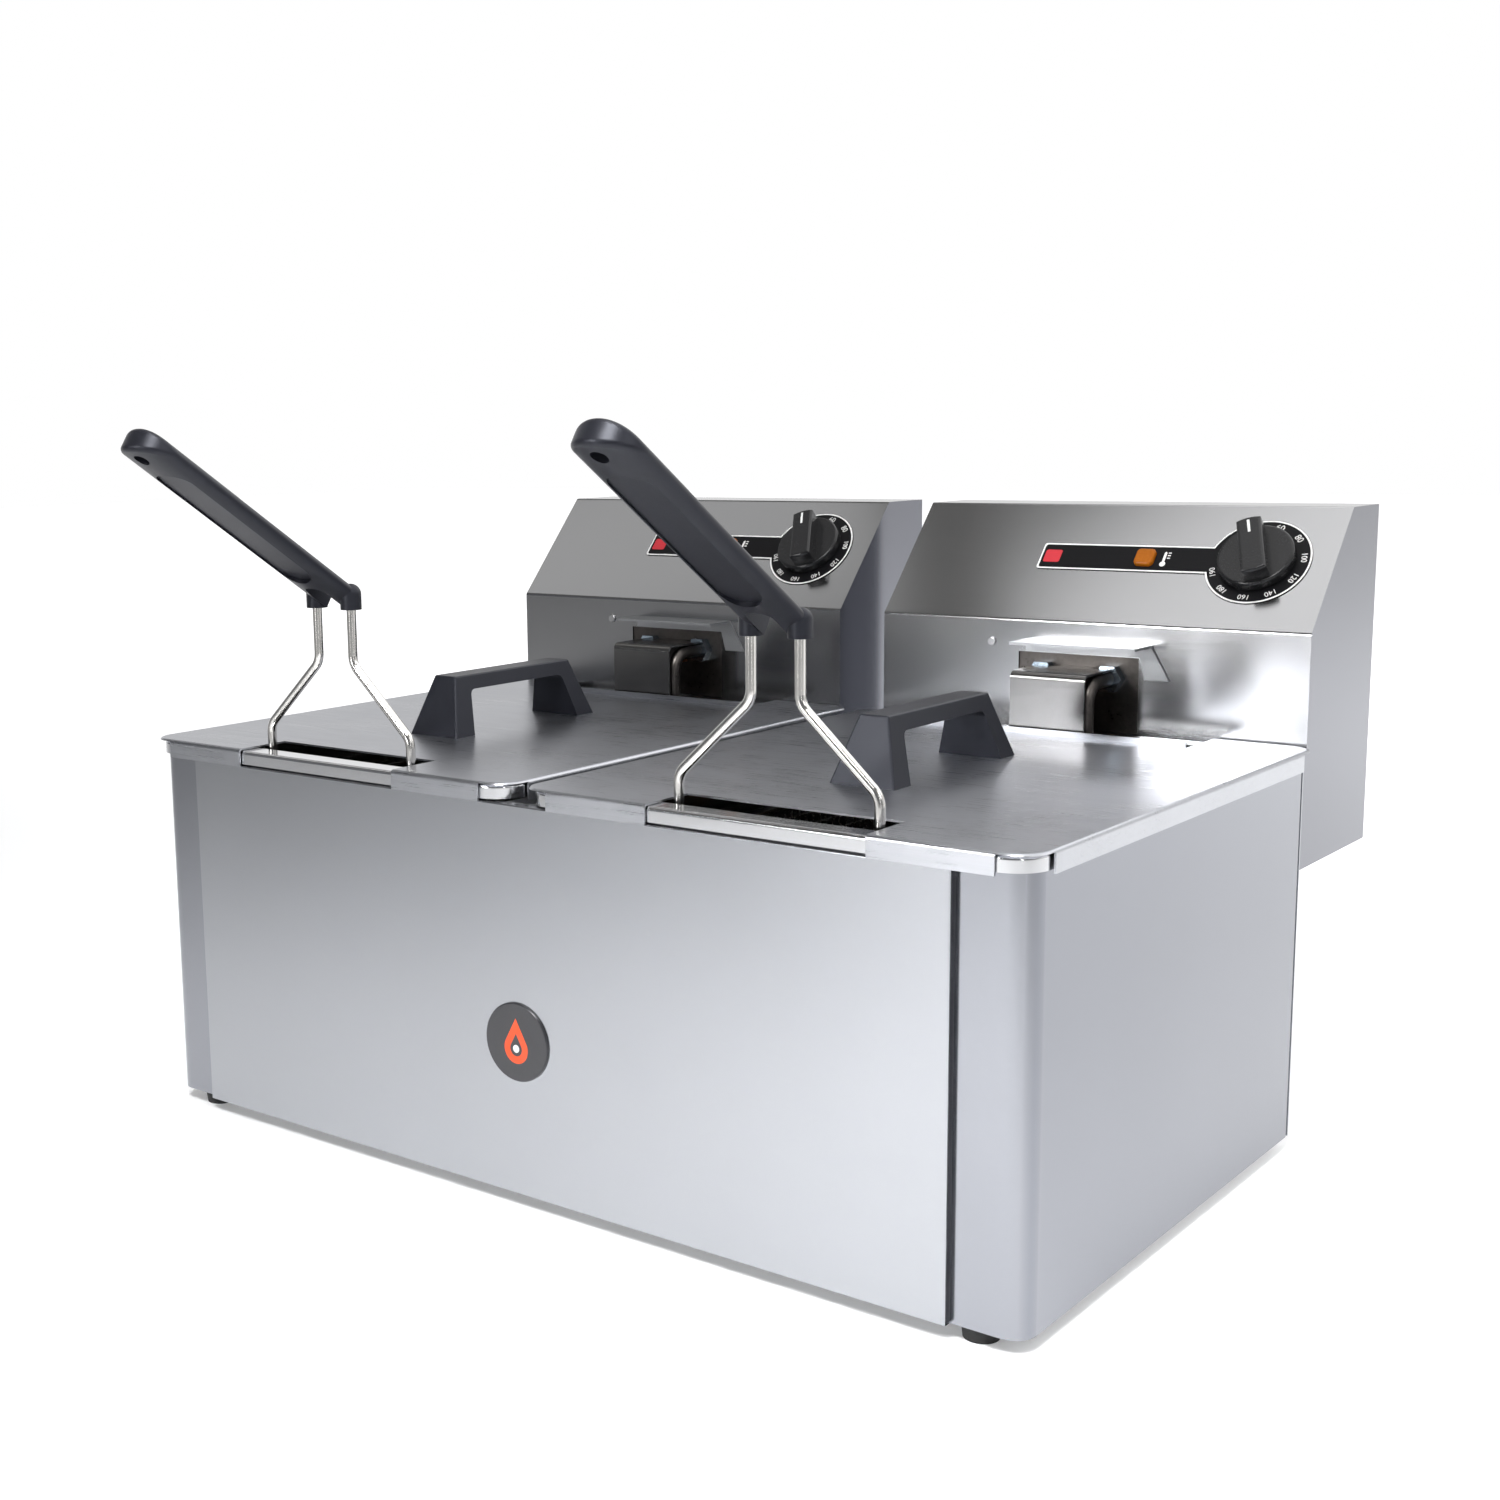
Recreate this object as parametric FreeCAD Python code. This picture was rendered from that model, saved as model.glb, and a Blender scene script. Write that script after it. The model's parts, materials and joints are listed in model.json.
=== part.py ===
import FreeCAD, Part
import math
import os

# Twin-tank countertop deep fryer, taken apart into the pieces it is assembled from.
#
# Bench frame while modelling: X to the right, Y to the back from the front panel's face,
# Z up from the casing's underside. Every piece is moved once, at the end, so that the origin
# lies on the floor under the middle of the whole fryer. All sizes are in millimetres.

# Sheet metal and common clearances
sheet = 1.0             # stainless sheet of the casing, tanks, lids and heads
bend = 2.5              # outer radius of a sheet bend
seat_gap = 0.3          # between a piece that lifts off and what it rests on
nest_gap = 0.25         # between sheets that nest inside one another
screw_radius = 2.0
screw_play = 0.1        # radial room round a screw's shank
screw_head_radius = 3.6
screw_head_height = 2.0

# Casing
casing_width = 545.0
casing_depth = 307.0    # front panel's face to the rear panel's face
casing_height = 205.5   # top edges of the walls
casing_corner = 11.0    # outer radius of the upright front corners
panel_width = 476.0
panel_proud = 4.5       # the front panel stands this far in front of the side wraps
wrap_overlap = 10.0     # the side wraps reach this far behind the front panel
rear_return = 16.0
base_upstand = 15.0
front_rail_height = 40.0
centre_rail_width = 18.0
centre_rail_height = 15.5
casing_screw_inset = 8.5
casing_screw_heights = (20.0, 70.0, 120.0)
foot_height = 7.0
foot_radius = 9.0
foot_flare = 1.0
foot_inset = 25.0       # from the casing's side
foot_setback = 15.0     # from the front panel's face and from the rear panel
badge_radius = 20.0
badge_thickness = 1.4
badge_height = 79.5     # badge centre above the casing's underside

# Tanks
tank_gap = 12.0         # between the two rims
rim_play = 0.5          # rim lip outside the casing walls
rim_lip = 7.3
rim_corner = 16.0
rim_setback = 0.5       # the rim's lip stands this far behind the front panel's face
panel_gap = 1.0         # below the rim's lip
rim_relief = 16.0       # walls are cut back this far under the rims' rear and inner corners
bowl_inset = 12.5       # rim's outer face to the bowl's inner wall
bowl_corner = 30.0
bowl_floor = 30.0       # bowl's inner floor above the casing's underside
bowl_floor_round = 12.0
rim_round = 2.0

# Lids
lid_play = 0.2          # lid sheet above the rim
skirt_play = 0.5        # front skirt in front of the rim's lip
skirt_side_play = 1.0
skirt_drop = 10.0
lid_corner = 14.0
lid_corner_cut = 18.0   # the skirts stop this far from the corners
lid_back_gap = 2.5      # rear edge to the head's face
side_skirt_rear = 20.0  # the side skirts stop this far from the rear edge
notch_play = 2.5        # front notch round the basket's stem and grip
notch_run = 5.0         # front notch behind the grip's sockets
rear_notch_play = 3.0   # rear notch in front of the element cover
rear_notch_side = 27.0  # rear notch beside the hanger's ear
rear_notch_lip = 3.0    # turned-up front edge of the rear notch

# Lid handles
handle_length = 121.0
handle_base_width = 36.0
handle_top_width = 16.0
handle_height = 33.0
handle_bar = 8.0
handle_lean = 11.0      # each end leans in by this much at the top
handle_leg = 15.0      # each leg at its foot
handle_gap_lean = 6.0   # the finger gap narrows by this much at each end
handle_setback = 91.0   # front foot behind the front panel's face
handle_round = 1.2
handle_screw_depth = 12.0

# Baskets
wire = 5.0
rib_wire = 4.0
stem_play = 3.5         # stem wires to the tank's front wall
stem_spread = 107.0     # between the stem wires where they pass the lid
stem_pitch = 26.0       # between the stem wires at the grip
stem_low_bend = 12.0    # above the lid
stem_high_bend = 49.0   # above the lid
stem_bend_radius = 10.0
stem_tail = 60.0        # stem wires reach this far below the basket's top wire
grip_rise = 86.0        # grip's root above the lid
basket_side_room = 16.0     # top wire to the bowl's side walls
basket_back_room = 6.0      # top wire to the element cover
basket_top_drop = 33.5      # top wire below the casing's top edges
basket_corner = 8.0
weld_gap = 0.2
net_thickness = 2.0
net_wire = 3.0
net_pitch = 19.0
rib_bend = 3.0
rib_inset = 60.0        # ribs from the basket's front and back wires

# Basket grips
grip_angle = 33.5       # above the horizontal, rising to the front
grip_length = 150.0     # from the stem wires to the tip
grip_width = 34.0
grip_thickness = 12.5
grip_gap = 14.0         # between the two prongs
grip_gap_length = 16.0
grip_recess = 2.5
grip_ridge = 5.5
grip_recess_end = 24.0
grip_hole_radius = 4.0
grip_hole_inset = 10.0
grip_round = 2.5
socket_radius = 5.6
socket_drop = 8.0       # sockets below the grip's root
wire_play = 0.05

# Control heads
head_gap = 31.0         # between the two heads
head_side_inset = 3.5   # head's side inside the casing's side
head_front_gap = 13.0   # head's face behind the casing's rear panel
shoulder_gap = 2.0      # head's lower wall behind the casing's rear panel
shoulder_drop = 4.5     # shoulder below the lid's top face
head_drop = 66.0        # head's underside below the lid's top face
fold_rise = 58.0        # fold line above the lid's top face
slope_rise = 63.0
slope_run = 57.0
top_depth = 41.0
cover_flange = 10.0
cover_screw_inset = 6.0
cover_screw_margin = 25.0
vent_count = 7
vent_length = 60.0
vent_height = 3.0
vent_pitch = 9.0
support_width = 80.0
support_reach = 32.0
support_height = 30.0
support_thickness = 1.5

# Element passage, cover and basket hanger on the head's face
passage_width = 72.0
passage_height = 42.0
passage_drop = 2.0      # passage's lower edge below the lid's top face
element_cover_width = 44.0
element_cover_sheet = 1.2
cover_tongue = 20.0
element_cover_bend = 4.0
element_cover_drop = 8.0    # front plate's lower edge below the lid's top face
element_cover_rise = 33.5   # cover's top above the lid's top face
cover_leg_room = 2.3    # element legs to the cover's front plate
hanger_sheet = 1.5
hanger_width = 74.0
hanger_flare = 11.0     # the ear leans out by this much at its foot
hanger_offset = 6.0     # hanger's middle to the right of the tank's middle
hanger_rise = 47.5      # hanger's top above the lid's top face
hanger_strip = 7.0
hanger_ear = 19.0
hanger_ear_foot = 14.0
hanger_ear_top = 6.0
hanger_reach = 22.0
face_screw_offset = 53.0
face_screw_drop = 13.4  # below the fold line
face_screw_head = 2.6
face_screw_height = 1.2

# Heating elements and sensors
tube = 8.0
leg_spread = 40.0
leg_room = 2.0          # element legs to the bowl's rear wall
leg_rise = 28.0         # element's way into the head above the lid's top face
leg_bend = 12.0
cold_zone = 16.0        # under the element
lane_count = 6
lane_side_room = 22.0   # outer lanes to the bowl's side walls
lane_front_room = 35.0
lane_turn_room = 38.0   # rear turns in front of the crossing runs
flange_margin = 8.0
flange_thickness = 2.0
tube_tail = 30.0
nut_width = 14.0
nut_thickness = 6.0
bulb_radius = 3.0
bulb_length = 100.0
bulb_pitch = 14.0
bulb_lift = 21.0        # bulbs above the element
capillary = 2.0
capillary_drop = 8.0    # capillaries below the element's tails
capillary_bend = 6.0

# Controls on the slope
control_line = 46.0     # up the slope from the fold
dial_margin = 40.75     # dial's centre to the head's right side
dial_radius = 28.4
label_length = 127.0    # label's left end to the dial's centre
label_height = 18.6
label_thickness = 0.5
label_round = 2.0
lamp_offset = 63.4      # lamp to the dial's centre
lamp_size = 11.0
lamp_play = 0.15
lamp_proud = 2.5
lamp_depth = 24.0
lamp_round = 2.5
shaft_radius = 3.0
shaft_play = 0.05
shaft_window = 1.0      # room round the shaft in the slope and the label
shaft_depth = 10.0
shaft_reach = 11.0
knob_radius = 20.5
knob_lift = 0.6         # above the label
knob_skirt = 6.0
knob_height = 15.5
knob_bar_width = 13.0
knob_bar_turn = 20.0    # degrees, anticlockwise, at the zero mark
knob_round = 1.5
thermostat_size = 34.0
thermostat_depth = 30.0

# Pieces on the head's floor
cutout_size = 26.0
cutout_height = 24.0
cutout_offset = 70.0    # left of the head's middle
fitting_setback = 33.0  # in front of the head's rear face
button_radius = 4.0
button_play = 0.3
button_stem = 3.0
button_stem_play = 0.05
button_stem_length = 8.0
button_proud = 4.0
button_travel = 2.0
button_end_room = 1.0
terminal_length = 46.0
terminal_width = 22.0
terminal_height = 18.0
terminal_offset = 5.0
terminal_ways = 3
terminal_hole_radius = 2.5
gland_offset = 70.0     # right of the head's middle
gland_radius = 7.75
gland_play = 0.25
gland_bore = 4.5
gland_nut = 20.0
gland_nut_height = 9.0
gland_dome = 6.0
gland_thread = 14.0

# Places worked out from the sizes above
half_width = casing_width / 2
rim_outer = half_width + rim_play + sheet
rim_half = (rim_outer - tank_gap / 2) / 2
tank_offset = tank_gap / 2 + rim_half
rim_front = rim_setback
rim_rear = casing_depth + rim_play + sheet
rim_top = casing_height + seat_gap + sheet
rim_bottom = rim_top - rim_lip
panel_top = rim_bottom - panel_gap
bowl_half = rim_half - bowl_inset
bowl_front = rim_front + bowl_inset
bowl_rear = rim_rear - bowl_inset
lid_under = rim_top + lid_play
lid_top = lid_under + sheet
lid_half = rim_half + skirt_side_play + sheet
lid_front = rim_front - skirt_play - sheet
head_front = casing_depth + head_front_gap
shoulder_front = casing_depth + shoulder_gap
lid_rear = head_front - lid_back_gap
head_bottom = lid_top - head_drop
fold_height = lid_top + fold_rise
head_top = fold_height + slope_rise
head_rear = head_front + slope_run + top_depth
head_half = (half_width - head_side_inset - head_gap / 2) / 2
head_offset = head_gap / 2 + head_half
slope_angle = math.degrees(math.atan2(slope_rise, slope_run))
leg_y = bowl_rear - leg_room - tube / 2
leg_top = lid_top + leg_rise
cover_front = leg_y - tube / 2 - cover_leg_room - element_cover_sheet
hanger_top = lid_top + hanger_rise
tube_level = bowl_floor + cold_zone + tube / 2
stem_y = bowl_front + stem_play + wire / 2
basket_front = stem_y + wire + weld_gap
basket_rear = cover_front - basket_back_room
basket_half = bowl_half - basket_side_room
basket_top = casing_height - basket_top_drop
rib_level = tube_level + tube / 2 + seat_gap + rib_wire / 2
notch_half = stem_spread / 2 + wire / 2 + notch_play
notch_rear = stem_y + socket_radius + notch_play + notch_run
grip_root = lid_top + grip_rise
grip_lean = math.radians(grip_angle)
tip_run = (grip_length - grip_round) * math.cos(grip_lean)
tip_drop = (grip_thickness / 2 - grip_round) * math.sin(grip_lean)
tip_front = stem_y - tip_run - tip_drop - grip_round
rear_end = head_rear + screw_head_height
origin_shift = FreeCAD.Vector(0, -(tip_front + rear_end) / 2, foot_height)


def vec(x, y, z):
    return FreeCAD.Vector(x, y, z)


def box(x0, x1, y0, y1, z0, z1):
    return Part.makeBox(x1 - x0, y1 - y0, z1 - z0, vec(x0, y0, z0))


def rod_between(start, end, radius):
    """Straight round bar from one point to another."""
    run = end - start
    return Part.makeCylinder(radius, run.Length, start, run)


def round_corner(before, corner, after, radius):
    """Start, middle and end of the arc that rounds a corner of a path."""
    back = (before - corner).normalize()
    ahead = (after - corner).normalize()
    half = back.getAngle(ahead) / 2
    reach = radius / math.tan(half)
    inward = (back + ahead).normalize()
    middle = corner + inward * (radius / math.sin(half) - radius)
    return corner + back * reach, middle, corner + ahead * reach


def rounded_wire(points, radii, closed):
    """Straight runs joined by tangent arcs; a radius of 0 keeps a sharp corner."""
    edges = []
    last = len(points) - 1
    first_end = None
    tail = None
    for i, corner in enumerate(points):
        before = points[i - 1]
        after = points[(i + 1) % len(points)]
        at_end = not closed and i in (0, last)
        start, middle, end = corner, None, corner
        if radii[i] > 0 and not at_end:
            start, middle, end = round_corner(before, corner, after, radii[i])
        if tail is None:
            first_end = start
        else:
            edges.append(Part.LineSegment(tail, start).toShape())
        if middle is not None:
            edges.append(Part.Arc(start, middle, end).toShape())
        tail = end
    if closed:
        edges.append(Part.LineSegment(tail, first_end).toShape())
    return Part.Wire(edges)


def prism(outline, radii, low, high):
    """Upright solid on a closed outline of (x, y) points with rounded corners."""
    wire_points = [vec(x, y, low) for x, y in outline]
    face = Part.Face(rounded_wire(wire_points, radii, True))
    return face.extrude(vec(0, 0, high - low))


def block(x0, x1, y0, y1, low, high, radius):
    """Upright block with all four upright corners rounded."""
    outline = [(x0, y0), (x1, y0), (x1, y1), (x0, y1)]
    return prism(outline, [radius] * 4, low, high)


def across(shape):
    """Turns a solid drawn on (depth, height) and raised along its width into the bench frame."""
    turn = FreeCAD.Matrix(0, 0, 1, 0, 1, 0, 0, 0, 0, 1, 0, 0, 0, 0, 0, 1)
    return shape.transformed(turn)


def sheet_outline(points, thickness, outer_bend):
    """Closed outline, with corner radii, of a bent sheet lying to the left of an open path."""
    count = len(points)
    normals = []
    for i in range(count - 1):
        run = vec(points[i + 1][0] - points[i][0], points[i + 1][1] - points[i][1], 0).normalize()
        normals.append(vec(-run.y, run.x, 0))
    far_side = []
    near_radii = [0.0] * count
    far_radii = [0.0] * count
    for i, point in enumerate(points):
        here = vec(point[0], point[1], 0)
        before = normals[max(i - 1, 0)]
        after = normals[min(i, count - 2)]
        shift = (before + after) * (thickness / (1 + before.dot(after)))
        far = here + shift
        far_side.append((far.x, far.y))
        if 0 < i < count - 1:
            turns_left = before.cross(after).z > 0
            near_radii[i] = outer_bend if turns_left else outer_bend - thickness
            far_radii[i] = outer_bend - thickness if turns_left else outer_bend
    return points + far_side[::-1], near_radii + far_radii[::-1]


def bent_sheet(points, thickness, outer_bend, low, high):
    outline, radii = sheet_outline(points, thickness, outer_bend)
    return prism(outline, radii, low, high)


def bent_rod(points, radii, diameter):
    """Round wire or tube along straight runs and tangent arcs."""
    path = rounded_wire(points, radii, False)
    section = Part.Wire(Part.makeCircle(diameter / 2, points[0], points[1] - points[0]))
    return path.makePipeShell([section], True, True)


def edges_at_level(shape, level):
    """Edges that lie flat at one height."""
    found = []
    for edge in shape.Edges:
        bounds = edge.BoundBox
        if abs(bounds.ZMin - level) < 1e-4 and abs(bounds.ZMax - level) < 1e-4:
            found.append(edge)
    return found


def soft_top(shape, level, radius):
    return shape.makeFillet(radius, edges_at_level(shape, level))


def hexagon(width, low, high):
    """Hexagonal prism by its width across the flats, upright at the origin."""
    corner = width / math.sqrt(3)
    points = []
    for i in range(6):
        angle = math.radians(60 * i)
        points.append((corner * math.cos(angle), corner * math.sin(angle)))
    return prism(points, [0.0] * 6, low, high)


def to_back(shape, place):
    """Turns a piece drawn upright at the origin so that its top points to the back."""
    moved = shape.copy()
    moved.rotate(vec(0, 0, 0), vec(1, 0, 0), -90)
    moved.translate(place)
    return moved


def screw(shank_length, head_radius=screw_head_radius, head_height=screw_head_height):
    """Pan-head screw drawn upright: shank up from the head's seat at the origin."""
    head = Part.makeCylinder(head_radius, head_height, vec(0, 0, -head_height))
    head = head.makeFillet(head_height * 0.45, edges_at_level(head, -head_height))
    shank = Part.makeCylinder(screw_radius, shank_length)
    return head.fuse(shank).removeSplitter()


def to_front(shape, place):
    """Turns a piece drawn upright at the origin so that its top points to the front."""
    moved = shape.copy()
    moved.rotate(vec(0, 0, 0), vec(1, 0, 0), 90)
    moved.translate(place)
    return moved


def screw_hole(length):
    return Part.makeCylinder(screw_radius + screw_play, length)


def on_slope(shape, head_x):
    """Puts a piece drawn on (across, up the slope, outwards) onto a head's sloped face."""
    moved = shape.copy()
    moved.rotate(vec(0, 0, 0), vec(1, 0, 0), slope_angle)
    moved.translate(vec(head_x, head_front, fold_height))
    return moved


# Casing

def casing_screw_places():
    places = []
    for side in (-1, 1):
        for height in casing_screw_heights:
            places.append(vec(side * (half_width - casing_screw_inset), casing_depth, height))
    return places


def make_casing_screws():
    length = 3 * sheet
    return Part.makeCompound([to_front(screw(length), place) for place in casing_screw_places()])


def drill_casing_screws(shape):
    for place in casing_screw_places():
        shape = shape.cut(to_front(screw_hole(4 * sheet), place + vec(0, sheet / 2, 0)))
    return shape


def cut_back(wall, x0, x1, y0, y1):
    """Lowers a wall's top edge where a rim's lip turns a corner across it."""
    return wall.cut(box(x0, x1, y0, y1, rim_bottom - panel_gap, casing_height + sheet))


def make_side_wrap(side):
    """Front return, rounded corner, side wall and rear return in one sheet."""
    inner_end = panel_width / 2 - wrap_overlap
    rear = casing_depth - sheet
    corners = [
        (inner_end, panel_proud),
        (half_width, panel_proud),
        (half_width, rear),
        (half_width - rear_return, rear),
    ]
    outline, radii = sheet_outline(corners, sheet, bend)
    radii[1] = casing_corner
    radii[-2] = casing_corner - sheet
    wrap = drill_casing_screws(prism(outline, radii, 0, casing_height))
    wrap = cut_back(wrap, half_width - rear_return - sheet, half_width + sheet,
                    rear - rim_relief, rear + sheet)
    if side < 0:
        wrap = wrap.mirror(vec(0, 0, 0), vec(1, 0, 0))
    return wrap


def make_front_panel():
    """Shallow tray whose edges turn back onto the side wraps."""
    half = panel_width / 2
    outer = box(-half, half, 0, panel_proud, 0, panel_top)
    front_edges = []
    for edge in outer.Edges:
        if edge.BoundBox.YMax < panel_proud / 2:
            front_edges.append(edge)
    outer = outer.makeFillet(sheet * 0.8, front_edges)
    hollow = box(-half + sheet, half - sheet, sheet, panel_proud + sheet, sheet, panel_top - sheet)
    return outer.cut(hollow)


def make_rear_panel():
    front = casing_depth - sheet
    panel = drill_casing_screws(box(-half_width, half_width, front, casing_depth, 0, casing_height))
    middle = tank_gap / 2 + rim_relief
    spans = (
        (-half_width - sheet, -half_width + rim_relief),
        (-middle, middle),
        (half_width - rim_relief, half_width + sheet),
    )
    for left, right in spans:
        panel = cut_back(panel, left, right, front - sheet, casing_depth + sheet)
    return panel


def make_base_pan():
    side = half_width - sheet - nest_gap
    front = panel_proud + sheet + nest_gap
    rear = casing_depth - 2 * sheet - nest_gap
    corner = casing_corner - sheet
    outer = block(-side, side, front, rear, 0, base_upstand, corner)
    inner = block(-side + sheet, side - sheet, front + sheet, rear - sheet, sheet,
                  base_upstand + sheet, corner - sheet)
    return outer.cut(inner)


def make_top_rails():
    """Front rail behind the panel, and the open channel between the two tanks."""
    front = panel_proud + sheet
    reach = half_width - casing_corner - nest_gap
    rear = casing_depth - sheet
    middle = tank_gap / 2 + rim_relief
    rail = box(-reach, reach, front, front + sheet, casing_height - front_rail_height, casing_height)
    rail = cut_back(rail, -middle, middle, front - sheet, front + 2 * sheet)
    half = centre_rail_width / 2
    floor = casing_height - centre_rail_height
    path = [(-half, casing_height), (-half, floor), (half, floor), (half, casing_height)]
    channel = bent_sheet(path, sheet, bend, 0, rear - front - sheet)
    channel.rotate(vec(0, 0, 0), vec(1, 0, 0), 90)
    channel.translate(vec(0, rear, 0))
    for y0, y1 in ((front, front + rim_relief), (rear - rim_relief, rear + sheet)):
        channel = cut_back(channel, -middle, middle, y0, y1)
    return Part.makeCompound([rail, channel])


def make_head_supports():
    """Angle brackets on the rear panel that carry the heads."""
    top = head_bottom - seat_gap
    brackets = []
    for head_x in (-head_offset, head_offset):
        path = [
            (casing_depth + support_reach, top),
            (casing_depth, top),
            (casing_depth, top - support_height),
        ]
        outline, radii = sheet_outline(path, support_thickness, bend)
        bracket = across(prism(outline, radii, -support_width / 2, support_width / 2))
        bracket.translate(vec(head_x, 0, 0))
        brackets.append(bracket)
    return Part.makeCompound(brackets)


def make_feet():
    feet = []
    for side in (-1, 1):
        for y in (foot_setback, casing_depth - foot_setback):
            place = vec(side * (half_width - foot_inset), y, -foot_height)
            feet.append(Part.makeCone(foot_radius - foot_flare, foot_radius, foot_height, place))
    return Part.makeCompound(feet)


def make_badge():
    disc = soft_top(Part.makeCylinder(badge_radius, badge_thickness), badge_thickness,
                    badge_thickness / 2)
    return to_front(disc, vec(0, 0, badge_height))


# Tanks

def make_tank(tank_x):
    """Deep bowl with a flat flange and a turned-down lip that hangs over the casing's walls."""
    left = tank_x - rim_half
    right = tank_x + rim_half
    rim = block(left, right, rim_front, rim_rear, rim_bottom, rim_top, rim_corner)
    rim = soft_top(rim, rim_top, rim_round)
    under = block(left + sheet, right - sheet, rim_front + sheet, rim_rear - sheet,
                  rim_bottom - sheet, rim_top - sheet, rim_corner - sheet)
    under = soft_top(under, rim_top - sheet, rim_round - sheet)
    bowl_left = tank_x - bowl_half
    bowl_right = tank_x + bowl_half
    floor = bowl_floor - sheet
    shell = block(bowl_left - sheet, bowl_right + sheet, bowl_front - sheet, bowl_rear + sheet,
                  floor, rim_top - sheet / 2, bowl_corner + sheet)
    shell = soft_top(shell, floor, bowl_floor_round + sheet)
    hollow = block(bowl_left, bowl_right, bowl_front, bowl_rear, bowl_floor, rim_top + sheet,
                   bowl_corner)
    hollow = soft_top(hollow, bowl_floor, bowl_floor_round)
    return rim.cut(under).fuse(shell).cut(hollow).removeSplitter()


# Lids

def make_lid(tank_x):
    """Flat sheet with turned-down skirts, open corners, a front notch and a rear notch."""
    left = tank_x - lid_half
    right = tank_x + lid_half
    low = lid_top - skirt_drop
    tray = block(left, right, lid_front, lid_rear, low, lid_top, lid_corner)
    tray = soft_top(tray, lid_top, rim_round)
    under = block(left + sheet, right - sheet, lid_front + sheet, lid_rear - sheet, low - sheet,
                  lid_under, lid_corner - sheet)
    under = soft_top(under, lid_under, rim_round - sheet)
    lid = tray.cut(under)
    rear_cut = box(left, right, lid_rear - side_skirt_rear, lid_rear + sheet, low - sheet, lid_under)
    cuts = [rear_cut]
    for x0, x1 in ((left, left + lid_corner_cut), (right - lid_corner_cut, right)):
        cuts.append(box(x0, x1, lid_front, lid_front + lid_corner_cut, low - sheet, lid_under))
    cuts.append(box(tank_x - notch_half, tank_x + notch_half, lid_front - sheet, notch_rear,
                    low - sheet, lid_top + sheet))
    rear_half = hanger_offset + hanger_width / 2 + hanger_flare + rear_notch_side
    rear_edge = cover_front - rear_notch_play
    cuts.append(box(tank_x - rear_half, tank_x + rear_half, rear_edge, lid_rear + sheet,
                    low - sheet, lid_top + sheet))
    for place in lid_handle_screw_places(tank_x):
        hole = screw_hole(3 * sheet)
        hole.translate(place - vec(0, 0, sheet))
        cuts.append(hole)
    lip = box(tank_x - rear_half, tank_x + rear_half, rear_edge - sheet, rear_edge, lid_under,
              lid_top + rear_notch_lip)
    return lid.cut(cuts).fuse(lip).removeSplitter()


def lid_handle_screw_places(tank_x):
    middle = handle_leg / 2
    ends = (handle_setback + middle, handle_setback + handle_length - middle)
    return [vec(tank_x, y, lid_under) for y in ends]


def make_lid_handle(tank_x):
    """Bridge handle along the lid: flared feet, a narrower bar, and a finger gap under it."""
    rings = []
    ends = (
        (lid_top, handle_base_width / 2, 0.0),
        (lid_top + handle_height, handle_top_width / 2, handle_lean),
    )
    for level, half, lean in ends:
        y0 = handle_setback + lean
        y1 = handle_setback + handle_length - lean
        corners = [
            vec(tank_x - half, y0, level),
            vec(tank_x + half, y0, level),
            vec(tank_x + half, y1, level),
            vec(tank_x - half, y1, level),
        ]
        rings.append(Part.makePolygon(corners + corners[:1]))
    body = Part.makeLoft(rings, True, True)
    body = body.makeFillet(handle_round, [e for e in body.Edges if e.BoundBox.ZMax > lid_top + handle_bar])
    foot = handle_setback + handle_leg
    far_foot = handle_setback + handle_length - handle_leg
    gap_top = lid_top + handle_height - handle_bar
    outline = [
        (foot, lid_top - sheet),
        (far_foot, lid_top - sheet),
        (far_foot - handle_gap_lean, gap_top),
        (foot + handle_gap_lean, gap_top),
    ]
    gap = across(prism(outline, [0, 0, handle_bar / 2, handle_bar / 2], -handle_base_width, handle_base_width))
    gap.translate(vec(tank_x, 0, 0))
    body = body.cut(gap)
    for place in lid_handle_screw_places(tank_x):
        hole = screw_hole(handle_screw_depth + sheet)
        hole.translate(place)
        body = body.cut(hole)
    return body


def make_lid_handle_screws(tank_x):
    screws = []
    for place in lid_handle_screw_places(tank_x):
        piece = screw(handle_screw_depth)
        piece.translate(place)
        screws.append(piece)
    return Part.makeCompound(screws)


# Baskets

def make_net(width, height):
    """Flat net drawn on (across, up) from its lower left corner, one holed sheet."""
    columns = int((width - net_wire) // net_pitch)
    rows = int((height - net_wire) // net_pitch)
    gap_x = (width - net_wire) / columns - net_wire
    gap_y = (height - net_wire) / rows - net_wire
    corners = [vec(0, 0, 0), vec(width, 0, 0), vec(width, height, 0), vec(0, height, 0)]
    wires = [Part.makePolygon(corners + corners[:1])]
    for column in range(columns):
        for row in range(rows):
            x = net_wire + column * (gap_x + net_wire)
            y = net_wire + row * (gap_y + net_wire)
            hole = [vec(x, y, 0), vec(x + gap_x, y, 0), vec(x + gap_x, y + gap_y, 0), vec(x, y + gap_y, 0)]
            wires.append(Part.makePolygon(hole + hole[:1]))
    return Part.makeFace(wires, "Part::FaceMakerCheese").extrude(vec(0, 0, net_thickness))


def basket_net_bounds():
    """Outer faces of the net walls, just inside the basket's top wire."""
    half = basket_half - wire / 2 - weld_gap
    front = basket_front + wire / 2 + weld_gap
    rear = basket_rear - wire / 2 - weld_gap
    return half, front, rear


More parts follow.
